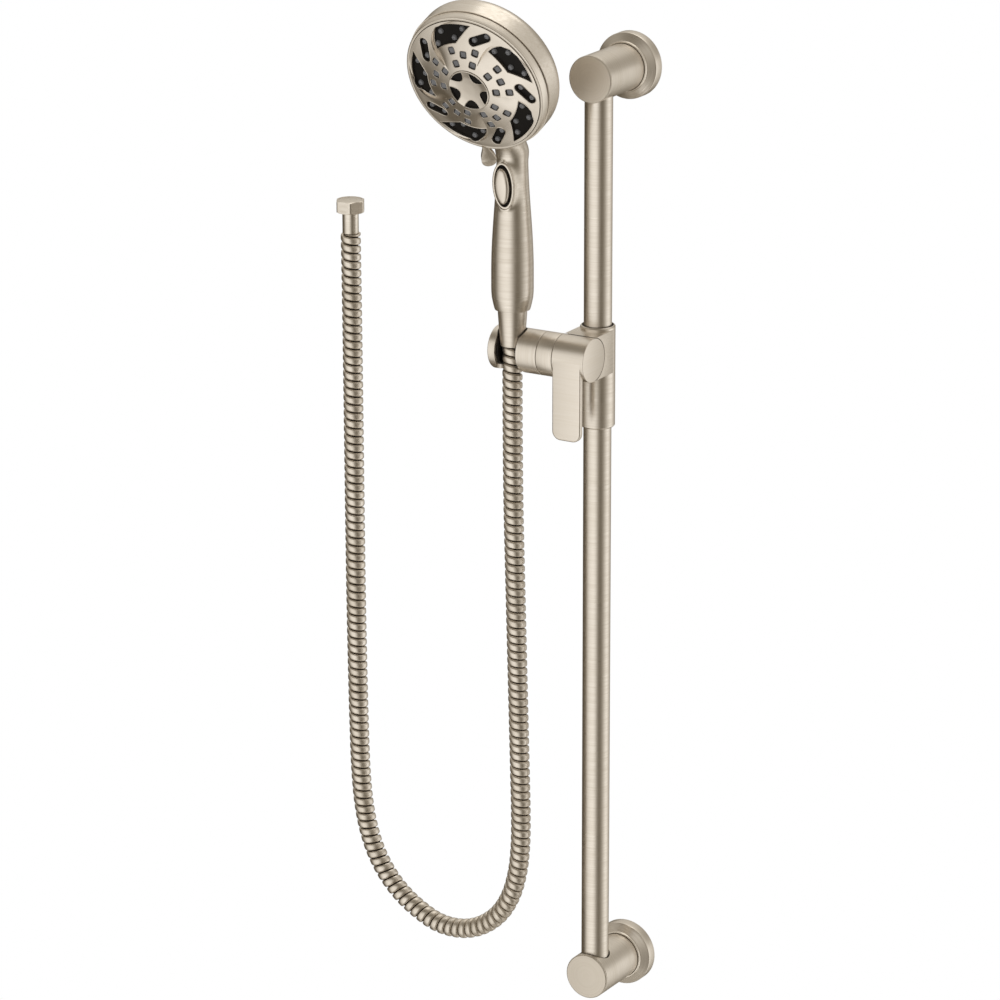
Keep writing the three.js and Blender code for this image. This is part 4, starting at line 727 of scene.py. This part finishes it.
def grip_radius(z):
    fall = np.clip((z - 30) / (NECK_HEIGHT - 30), 0, 1)
    taper = NECK_RADIUS + 4.35 * 0.5 * (1 + np.cos(np.pi * fall))
    foot = 13.9 + 2.3 * np.clip(z / 9.5, 0, 1) ** 0.8
    waist = 16.2 + 0.45 * np.sin(np.clip((z - 9.5) / 7.5, 0, 1) * np.pi / 2)
    return np.where(z < 9.5, foot, np.where(z < 17, waist, taper))


def blended(a, b, reach):
    """Two distances joined with a soft fillet."""
    near = np.clip(reach - np.abs(a - b), 0, None) / reach
    return np.minimum(a, b) - near ** 2 * reach / 4


def outside(points):
    """How far points are outside the handle, neck, head and button boss as one flowing form."""
    x, y, z = points.T
    above = np.clip(z - NECK_HEIGHT, 0, None)
    handle = np.sqrt(x ** 2 + y ** 2 + above ** 2) - grip_radius(z)
    axis = neck_end - neck_start
    share = np.clip((points - neck_start) @ axis / (axis @ axis), 0, 1)
    neck = (np.linalg.norm(points - neck_start - share[:, None] * axis, axis=1)
            - NECK_RADIUS - (NECK_HEAD_RADIUS - NECK_RADIUS) * share)
    local = (points - np.array(head_in_handle.translation)) @ np.array(head_in_handle.to_3x3())
    flat = np.stack([np.hypot(local[:, 0], local[:, 1]), local[:, 2]], axis=1)
    shell = np.full(len(points), 1e9)
    for start, end in zip(shell_line, shell_line[1:]):
        run = end - start
        part = np.clip((flat - start) @ run / (run @ run), 0, 1)
        shell = np.minimum(shell, np.linalg.norm(flat - start - part[:, None] * run, axis=1))
    rim = np.interp(-flat[:, 1], -shell_line[::-1, 1], shell_line[::-1, 0])
    shell = np.where((flat[:, 0] < rim) & (flat[:, 1] > shell_line[0, 1]), -shell, shell)
    up = (z - BUTTON_HEIGHT) * math.cos(LEAN) - x * math.sin(LEAN)
    x = x * math.cos(LEAN) + (z - BUTTON_HEIGHT) * math.sin(LEAN)
    wide, tall = BOSS_HALVES
    reach = np.hypot(x / wide, up / tall)
    side = (reach - 1) * reach / np.maximum(np.hypot(x / wide ** 2, up / tall ** 2), 1e-3)
    boss = -blended(-side, y + BOSS_FRONT, 1)
    whole = blended(blended(handle, neck, 2.5), shell, 12)
    return blended(whole, np.maximum(boss, y), 4)


def settled(bm):
    """Every corner moved onto the flowing form."""
    points = np.array([vert.co for vert in bm.verts], float)
    for _ in range(4):
        slope = np.stack([(outside(points + step) - outside(points - step)) / 0.02
                          for step in np.eye(3) * 0.01], axis=1)
        size = np.maximum((slope ** 2).sum(axis=1), 0.25)
        points -= np.clip(outside(points) / size, -3, 3)[:, None] * slope
    for vert, co in zip(bm.verts, points):
        vert.co = co


def height_of(item):
    return min(vert.co.z for vert in getattr(item, "verts", [item]))


def hand_form():
    grip = turned([(0, -5), (13.9, -5), (13.9, 0)] + [(float(grip_radius(np.array(z))), z)
                  for z in (4, 9.5, 17, 34, 52, 70, 88, 106)] + [
        (NECK_RADIUS, NECK_HEIGHT), (10.6, NECK_HEIGHT + 6.2), (6.2, NECK_HEIGHT + 10.6),
        (0, NECK_HEIGHT + 12.3)], 64)
    run = Vector(neck_end - neck_start)
    neck = placed(turned([(0, 0), (NECK_RADIUS, 0), (NECK_HEAD_RADIUS, run.length), (0, run.length)], 64),
                  Matrix.Translation(neck_start) @ run.to_track_quat("Z", "Y").to_matrix().to_4x4())
    shell = placed(turned([tuple(corner) for corner in shell_line[::4]]
                          + [(SHELL_RADIUS, -4), (0, -4)], 96), head_in_handle)
    boss = placed(plate(oval(*BOSS_HALVES, 48), 2, BOSS_FRONT), BUTTON_PLACE)
    form = worked(together([grip, neck, shell, boss]), "REMESH", mode="VOXEL", voxel_size=0.85)
    front = (head_in_handle @ Vector((0, 0, -7.8)), head_in_handle.to_3x3() @ Vector((0, 0, 1)))
    for (point, normal), start, clear in ((((0, 0, 0), (0, 0, -1)), -20, True),
                                          (((0, 0, 9.5), (0, 0, 1)), -20, False), (front, 133, True)):
        bmesh.ops.bisect_plane(form, geom=[item for group in (form.verts, form.edges, form.faces)
                                           for item in group if height_of(item) > start],
                               dist=0.02, plane_co=point, plane_no=normal, clear_outer=clear)
    settled(form)
    capped(form)
    well = placed(plate(oval(7.9, 17.0, 96), 9, 30), BUTTON_PLACE)
    rebate = placed(plate(oval(10.1, 18.95, 96), BOSS_FRONT - 0.1, 30), BUTTON_PLACE)
    return carved(carved(form, well), rebate)


finished("handle_shell_plated", hand_form(), HANDLE, "hand_shower", NICKEL_HANDLE,
         ["handle_shell"], crease=38)

# ---- pause button

at_button = HANDLE @ BUTTON_PLACE
bezel_front = -extent("button_bezel")[0].y + SWIVEL.y
button_front = -extent("pause_button")[0].y + SWIVEL.y


def lengthened(bm, extra):
    """A turned ring made oval: its ends move apart, and its width stays the same."""
    for vert in bm.verts:
        reach = math.hypot(vert.co.x, vert.co.y)
        vert.co.y *= (reach + extra) / reach
    return bm


BEZEL_HALVES = (9.85, 18.7)
bezel = lengthened(turned([
    (7.75, 9), (BEZEL_HALVES[0], 9), (BEZEL_HALVES[0], bezel_front, 1.0), (7.75, bezel_front, 0.5),
], 144), BEZEL_HALVES[1] - BEZEL_HALVES[0])
finished("button_bezel_plated", bezel, at_button, "hand_shower", NICKEL_HANDLE,
         ["button_bezel"])
seal = turned([(6.5, 9.3), (7.7, 9.3), (7.7, 11.8), (6.5, 12, 0.3)], 96)
bmesh.ops.scale(seal, vec=(1, 2.2, 1), verts=seal.verts)
finished("button_seal_moulded", seal, at_button, "hand_shower", BLACK_SILICONE,
         ["button_seal"])
BUTTON_HALVES = (6.2, 14.1)
button = turned([
    (0, button_front - 8), (BUTTON_HALVES[0], button_front - 8),
    (BUTTON_HALVES[0], button_front + 0.5, 0.8), (5.0, button_front + 2.0, 1.0),
    (2.6, button_front + 2.5, 0.9), (0, button_front + 2.6),
], 144)
bmesh.ops.scale(button, vec=(1, BUTTON_HALVES[1] / BUTTON_HALVES[0], 1), verts=button.verts)
finished("pause_button_plated", button, at_button, "button", NICKEL_FACE,
         ["pause_button"])

# ---- spray face

RING_INNER = 56.9
FACE_RADIUS = 56.55
HUB_RADIUS = 17.3
HUB_FRONT = 9.2
MAT_SPLIT = 36.6
FACE_THICKNESS = 2.6
BLADES = 5
BLADE_SPAN = 360 / BLADES
BLADE_START = 63  # degrees, where the edge between two blades leaves the hub
BLADE_STEP = 2.4
FALL = 6  # the power by which a blade falls away: level at first, steep beside the next one
TAB_STEM = 2.3
TAB_RADIUS = 5.8
TAB_END = 77.8
TAB_YAW, TAB_LIFT, TAB_ROLL = (math.radians(turn) for turn in (-3.2, 9, 33))

ring = turned([
    (RING_INNER, 0, 0.3), (59.05, 0, 0.7), (59.95, -7.4, 0.3), (56.5, -7.4), (56.5, -4),
    (RING_INNER, -3.8),
], 240)
# the tab's stem and its rounded end, turned a little on the ring
tab = plate([(-TAB_STEM, -57.5), (-TAB_STEM, -60.5), (-TAB_RADIUS, -69.5), (-TAB_RADIUS, -TAB_END),
             (TAB_RADIUS, -TAB_END), (TAB_RADIUS, -69.5), (TAB_STEM, -60.5), (TAB_STEM, -57.5)], -4.5, 0.5)
for level, rounding in ((-TAB_END, 5.4), (-69.5, 5), (-60.5, 2.5)):
    rounded(tab, [edge for edge in upright(tab) if abs(edge.verts[0].co.y - level) < 0.01], rounding, 8)
standing = set(upright(tab))
rounded(tab, [edge for edge in tab.edges
              if edge not in standing and any(vert.co.y <= -57.6 for vert in edge.verts)], 0.9, 3)
placed(tab, Matrix.Rotation(TAB_YAW, 4, "Z") @ Matrix.Translation((0, -58, 0))
       @ Matrix.Rotation(TAB_LIFT, 4, "X") @ Matrix.Rotation(TAB_ROLL, 4, "Y")
       @ Matrix.Translation((0, 58, 0)))
finished("selector_ring_plated", together([ring, tab]), HEAD, "selector",
         NICKEL_RING, ["selector_ring"])


def dome(r):
    """The face falls as a shallow cone from the hub, and flattens into a level rim."""
    return float(np.interp(r, [0, HUB_RADIUS, 24, 30, 36, 41, 44, 47, 50, 54, RING_INNER],
                           [8.6, 8.4, 7.2, 5.9, 4.4, 3.1, 2.4, 1.9, 1.5, 1.0, 0.5]))


def eased(value, start, end):
    share = min(max((value - start) / (end - start), 0), 1)
    return share * share * (3 - 2 * share)


def crease_turn(r):
    """How far the edge between two blades has swept round by that radius, in degrees."""
    return float(np.interp(r, [33, 38, 42, 46, 49, 51.5, 53.5, 55, 56.6],
                           [0, -1.2, -3, -6, -9.5, -14, -20, -28, -38]))


def blade_step(r):
    """Height that each blade stands over the next one at their shared edge."""
    return BLADE_STEP * eased(r, 21, 36) * (1 - eased(r, 53, 56.4))


def face_height(x, y):
    r = math.hypot(x, y)
    share = (math.degrees(math.atan2(y, x)) - BLADE_START - crease_turn(r)) % BLADE_SPAN / BLADE_SPAN
    return dome(r) - blade_step(r) * share ** FALL


def round_blades(outline):
    """The outline repeated on every blade."""
    turns = [math.radians(-BLADE_SPAN * blade) for blade in range(BLADES)]
    return [[(x * math.cos(a) - y * math.sin(a), x * math.sin(a) + y * math.cos(a)) for x, y in outline]
            for a in turns]


window = ([polar(*corner) for corner in ((38.8, 130.5), (41.2, 129.4), (43.6, 128), (46.8, 125.2),
                                         (49.9, 121.8), (52.6, 118.2))]
          + arc(54.4, 115, 81, 12) + [polar(50.4, 84.7), polar(46.3, 88.7), polar(42.4, 93.4)]
          + arc(38.8, 98.5, 130.5, 9)[:-1])
pill_near, pill_far = Vector(polar(42.2, 77)), Vector(polar(49.9, 65))
heading = math.degrees(math.atan2(*(pill_far - pill_near).yx))
pill = [tuple(end + Vector(point)) for end, start in ((pill_far, heading - 90), (pill_near, heading + 90))
        for point in arc(4, start, start + 180, 12)]


def square(radius, degrees, size=6.2, corner=1.4):
    """A square opening with clipped corners, as its outline."""
    half, inner = size / 2, size / 2 - corner
    mid = half - 0.29 * corner
    turn = Matrix.Rotation(math.radians(degrees), 2)
    middle = Vector(polar(radius, degrees))
    quarter = [(half, -inner), (half, 0), (half, inner), (mid, mid)]
    return [tuple(middle + turn @ (Matrix.Rotation(math.radians(90 * side), 2) @ Vector(point)))
            for side in range(4) for point in quarter]


# where the nozzles of one blade stand, as (radius, degrees)
SQUARES = [(23.3, 72), (23.3, 108), (30, 90), (33.7, 72), (33.7, 108)]
ROUNDS = [(49.2, 113.8), (49.5, 90.2), (42.2, 100.9), (41.9, 124.6), (42.4, 76.7), (49.7, 65.3)]
windows, pills = round_blades(window), round_blades(pill)
openings = [outline for r, turn in SQUARES for outline in round_blades(square(r, turn))]

# the plate's columns, one degree apart, sweep round with the five blade edges
radii = [17.6, 19, 21, 23, 25] + [27 + 1.25 * step for step in range(23)] + [55.3, FACE_RADIUS]
face = turned([(r, dome(r)) for r in radii]
              + [(r, dome(r) - FACE_THICKNESS) for r in (FACE_RADIUS, 46, 36, 27, 17.6)], 360)
for vert in face.verts:
    r = math.hypot(vert.co.x, vert.co.y)
    column = round(math.degrees(math.atan2(vert.co.y, vert.co.x))) % 360
    blade, along = divmod(column, BLADE_SPAN)
    share = along / (BLADE_SPAN - 1)
    turn = math.radians(BLADE_START + BLADE_SPAN * blade + 0.5 + along + crease_turn(r))
    vert.co = (r * math.cos(turn), r * math.sin(turn), vert.co.z - blade_step(r) * share ** FALL)
cutters = together([plate(outline, -9, 14) for outline in windows + pills + openings])
face = carved(face, cutters)
seat = turned([(2.3, 5.4), (17.7, 5.4), (17.7, 6.8), (2.3, 6.8)], 96)
rims = beads(windows + pills, 0.34, lambda x, y: face_height(x, y) - 0.12)
small_rims = beads(openings, 0.24, lambda x, y: face_height(x, y) - 0.08)
finished("face_plate_plated", together([face, seat, rims, small_rims]), HEAD, "hand_shower",
         NICKEL_FACE, ["face_plate"], crease=35)

# ---- nozzles


def domed_sheet(inner, outer, under):
    radii = [inner + (outer - inner) * step / 6 for step in range(7)]
    return turned([(r, dome(r) - under) for r in radii]
                  + [(r, dome(r) - under - 1.4) for r in radii[::-1]], 96)


def square_nozzle(radius, degrees):
    """A soft block with a rounded crown, its top just under the face."""
    x, y = polar(radius, degrees)
    top = face_height(x, y) - 0.15
    nozzle = block((-2.3, -2.3, -4.2), (2.3, 2.3, 0))
    rounded(nozzle, [edge for edge in nozzle.edges
                     if any(vert.co.z > -0.1 for vert in edge.verts)], 0.75, 3)
    return placed(nozzle, about((x, y, top), Matrix.Rotation(math.radians(degrees), 4, "Z")))


mat = [domed_sheet(19.3, MAT_SPLIT - 0.3, 2.9)]
mat += [square_nozzle(r, turn - BLADE_SPAN * blade) for r, turn in SQUARES for blade in range(BLADES)]
finished("nozzle_mat_moulded", together(mat), HEAD, "hand_shower", GREY_SILICONE,
         ["nozzle_mat"], crease=50)
finished("window_mat_moulded", domed_sheet(MAT_SPLIT, FACE_RADIUS - 0.8, 2.75), HEAD, "hand_shower",
         BLACK_SILICONE, ["window_mat"])


def round_nozzle(radius, degrees):
    """A low cone with a domed crown and a pin hole."""
    x, y = polar(radius, degrees)
    foot = dome(radius) - 2.95
    nozzle = turned([(0, 0), (2.35, 0), (2.1, 1.3, 0.5), (1.5, 2.0, 0.4), (0.55, 2.2, 0.1), (0.45, 1.7),
                     (0, 1.7)], 20)
    return placed(nozzle, about((x, y, foot)))


finished("round_nozzles_moulded", together([round_nozzle(r, turn - BLADE_SPAN * blade)
                                            for r, turn in ROUNDS for blade in range(BLADES)]),
         HEAD, "hand_shower", GREY_SILICONE, crease=40)

# ---- centre cap

port = arc(16.6, 29, 78, 10) + [polar(*corner) for corner in (
    (14.6, 77.5), (12.4, 75.5), (10.7, 71), (9.6, 64.5), (9.1, 57), (9.1, 50), (9.7, 42.5), (11, 36),
    (12.8, 31.5), (14.8, 29.3))]
cap = turned([
    (0, 7.2), (HUB_RADIUS, 7.2, 0.2), (HUB_RADIUS, HUB_FRONT, 0.35), (16.7, HUB_FRONT, 0.2),
    (11, HUB_FRONT - 0.95, 1.5), (5, HUB_FRONT - 1.25, 1), (0, HUB_FRONT - 1.3),
], 180)
ports = round_blades(port)


def cap_height(x, y):
    return HUB_FRONT - float(np.interp(math.hypot(x, y), [0, 5, 11, 16.7], [1.3, 1.25, 0.95, 0]))


cap = carved(cap, together([plate(outline, 5, 11) for outline in ports]))
port_rims = beads(ports, 0.3, lambda x, y: cap_height(x, y) - 0.02)
finished("centre_cap_plated", together([cap, port_rims]), HEAD, "hand_shower",
         NICKEL_FACE, ["centre_cap"], crease=35)
finished("port_inserts_moulded", together([plate(outline, 6.9, 7.5) for outline in ports]), HEAD,
         "hand_shower", BLACK_SILICONE)

# ---- finishes of the inner pieces

INNER = {
    STEEL: ["wall_bracket_", "set_screw_", "pivot_shaft", "friction_washer", "ferrule_upper",
            "inlet_screen", "valve_stem", "button_spring", "centre_screw", "turbine_pin", "detent_"],
    ACETAL: ["brake_shoe", "flow_regulator", "water_tube", "diverter_disc", "turbine"],
    BLACK_NYLON: ["head_manifold"],
    RUBBER: ["inlet_washer", "head_seal"],
}
for name, node in frame["nodes"].items():
    if node.hide_render:
        continue
    for material, starts in INNER.items():
        if any(name.startswith(start) for start in starts):
            node.data.materials.clear()
            node.data.materials.append(material)
            break

# ---- floor and light

FLOOR_RADIUS = 0.6
FLOOR_HEIGHT = -0.9
floor_mesh = bmesh.new()
bmesh.ops.create_circle(floor_mesh, cap_ends=True, segments=128, radius=FLOOR_RADIUS)
bmesh.ops.translate(floor_mesh, vec=(-0.1, -0.1, FLOOR_HEIGHT), verts=floor_mesh.verts)
floor = linked("floor", as_mesh(floor_mesh, "floor"))
# matt white paint, rolled: a pale even ground
paint, paint_tree = new_material("white_paint_rolled")
matt = add(paint_tree, "ShaderNodeBsdfPrincipled", {
    "Base Color": linear("#E9E7E3"), "Roughness": 0.9, "Specular IOR Level": 0.1,
})
add(paint_tree, "ShaderNodeOutputMaterial", {"Surface": matt.outputs["BSDF"]})
floor.data.materials.append(paint)

# a wide diffused light, overhead and behind
MIDDLE = Vector((-0.1, -0.09, 0.4))
SOFTBOX_SIZE = 1.6
SOFTBOX_RADIANCE = 0.8
softbox = bpy.data.lights.new("overhead_softbox", "AREA")
softbox.shape = "RECTANGLE"
softbox.size = softbox.size_y = SOFTBOX_SIZE
softbox.color = linear("#FFFCF6")[:3]
softbox.energy = SOFTBOX_RADIANCE * math.pi * SOFTBOX_SIZE ** 2
holder = linked("overhead_softbox", softbox)
holder.location = MIDDLE + Vector((0, 1.2, 2.4))
holder.rotation_euler = (MIDDLE - holder.location).to_track_quat("-Z", "Y").to_euler()
holder.visible_camera = False

# The studio round the object, as (degrees round from straight in front, + is right; brightness). Low
# down: a broad white screen ahead and to the left, a dark gap, and a second screen on the right that is
# brightest in its middle. Half way up the screens reach round behind. High up: dark in front, a white
# ceiling behind.
LOW = [(-180, 0.26), (-158, 0.10), (-100, 0.05), (-72, 0.06), (-54, 0.48), (-40, 0.90), (-20, 1.05),
       (4, 1.12), (18, 1.00), (34, 0.40), (46, 0.10), (64, 0.10), (82, 0.30), (100, 0.72), (118, 1.10),
       (134, 1.12), (148, 0.72), (166, 0.46), (180, 0.26)]
MIDWAY = [(-180, 0.38), (-150, 0.62), (-120, 0.55), (-84, 0.25), (-56, 0.55), (-38, 0.90), (8, 1.00),
          (30, 0.55), (46, 0.20), (70, 0.25), (100, 0.66), (128, 0.72), (154, 0.32), (180, 0.38)]
HIGH = [(-180, 0.72), (-112, 0.72), (-84, 0.35), (-50, 0.16), (30, 0.16), (70, 0.25), (110, 0.66),
        (180, 0.72)]
GROUND = (0.16, 0.13, 0.095, 1)

world = bpy.data.worlds.new("studio")
scene.world = world
world.use_nodes = True
sky = world.node_tree
sky.nodes.clear()
path = add(sky, "ShaderNodeLightPath", {})
towards = add(sky, "ShaderNodeTexCoord", {})
parts = add(sky, "ShaderNodeSeparateXYZ", {"Vector": towards.outputs["Generated"]})
ahead = add(sky, "ShaderNodeMath", {0: parts.outputs["Y"], 1: -1}, operation="MULTIPLY")
turn = add(sky, "ShaderNodeMath", {0: parts.outputs["X"], 1: ahead.outputs["Value"]}, operation="ARCTAN2")
azimuth = add(sky, "ShaderNodeMapRange", {
    "Value": turn.outputs["Value"], "From Min": -math.pi, "From Max": math.pi,
})
screens = []
for stops in (LOW, MIDWAY, HIGH):
    ramp = add(sky, "ShaderNodeValToRGB", {"Fac": azimuth.outputs["Result"]})
    points = ramp.color_ramp.elements
    while len(points) < len(stops):
        points.new(0.5)
    for point, (angle, level) in zip(points, stops):
        point.position = (angle + 180) / 360
        point.color = (level, level ** 1.04 * 0.985, level ** 1.12 * 0.945, 1)
    screens.append(ramp.outputs["Color"])
# each band of screens takes over from the one before as a direction's own Z goes from start to end
shell = screens[0]
for band, start, end in ((screens[1], 0.02, 0.22), (screens[2], 0.42, 0.72), (GROUND, -0.86, -0.97)):
    share = add(sky, "ShaderNodeMapRange", {
        "Value": parts.outputs["Z"], "From Min": start, "From Max": end,
    }, interpolation_type="SMOOTHSTEP")
    mixed = add(sky, "ShaderNodeMix", {"Factor": share.outputs["Result"], "A": shell, "B": band},
                data_type="RGBA")
    shell = mixed.outputs["Result"]
# a warm glow from all round keeps the darkest gaps brown
warm = add(sky, "ShaderNodeMix", {
    "Factor": 1.0, "A": shell, "B": (0.034, 0.022, 0.008, 1),
}, data_type="RGBA", blend_type="ADD")
studio = add(sky, "ShaderNodeBackground", {"Color": warm.outputs["Result"], "Strength": 1.0})
white = add(sky, "ShaderNodeBackground", {"Color": (1, 1, 1, 1), "Strength": 1.0})
shown = add(sky, "ShaderNodeMixShader", {
    0: path.outputs["Is Camera Ray"], 1: studio.outputs["Background"], 2: white.outputs["Background"],
})
add(sky, "ShaderNodeOutputWorld", {"Surface": shown.outputs["Shader"]})
scene.view_settings.view_transform = "Standard"
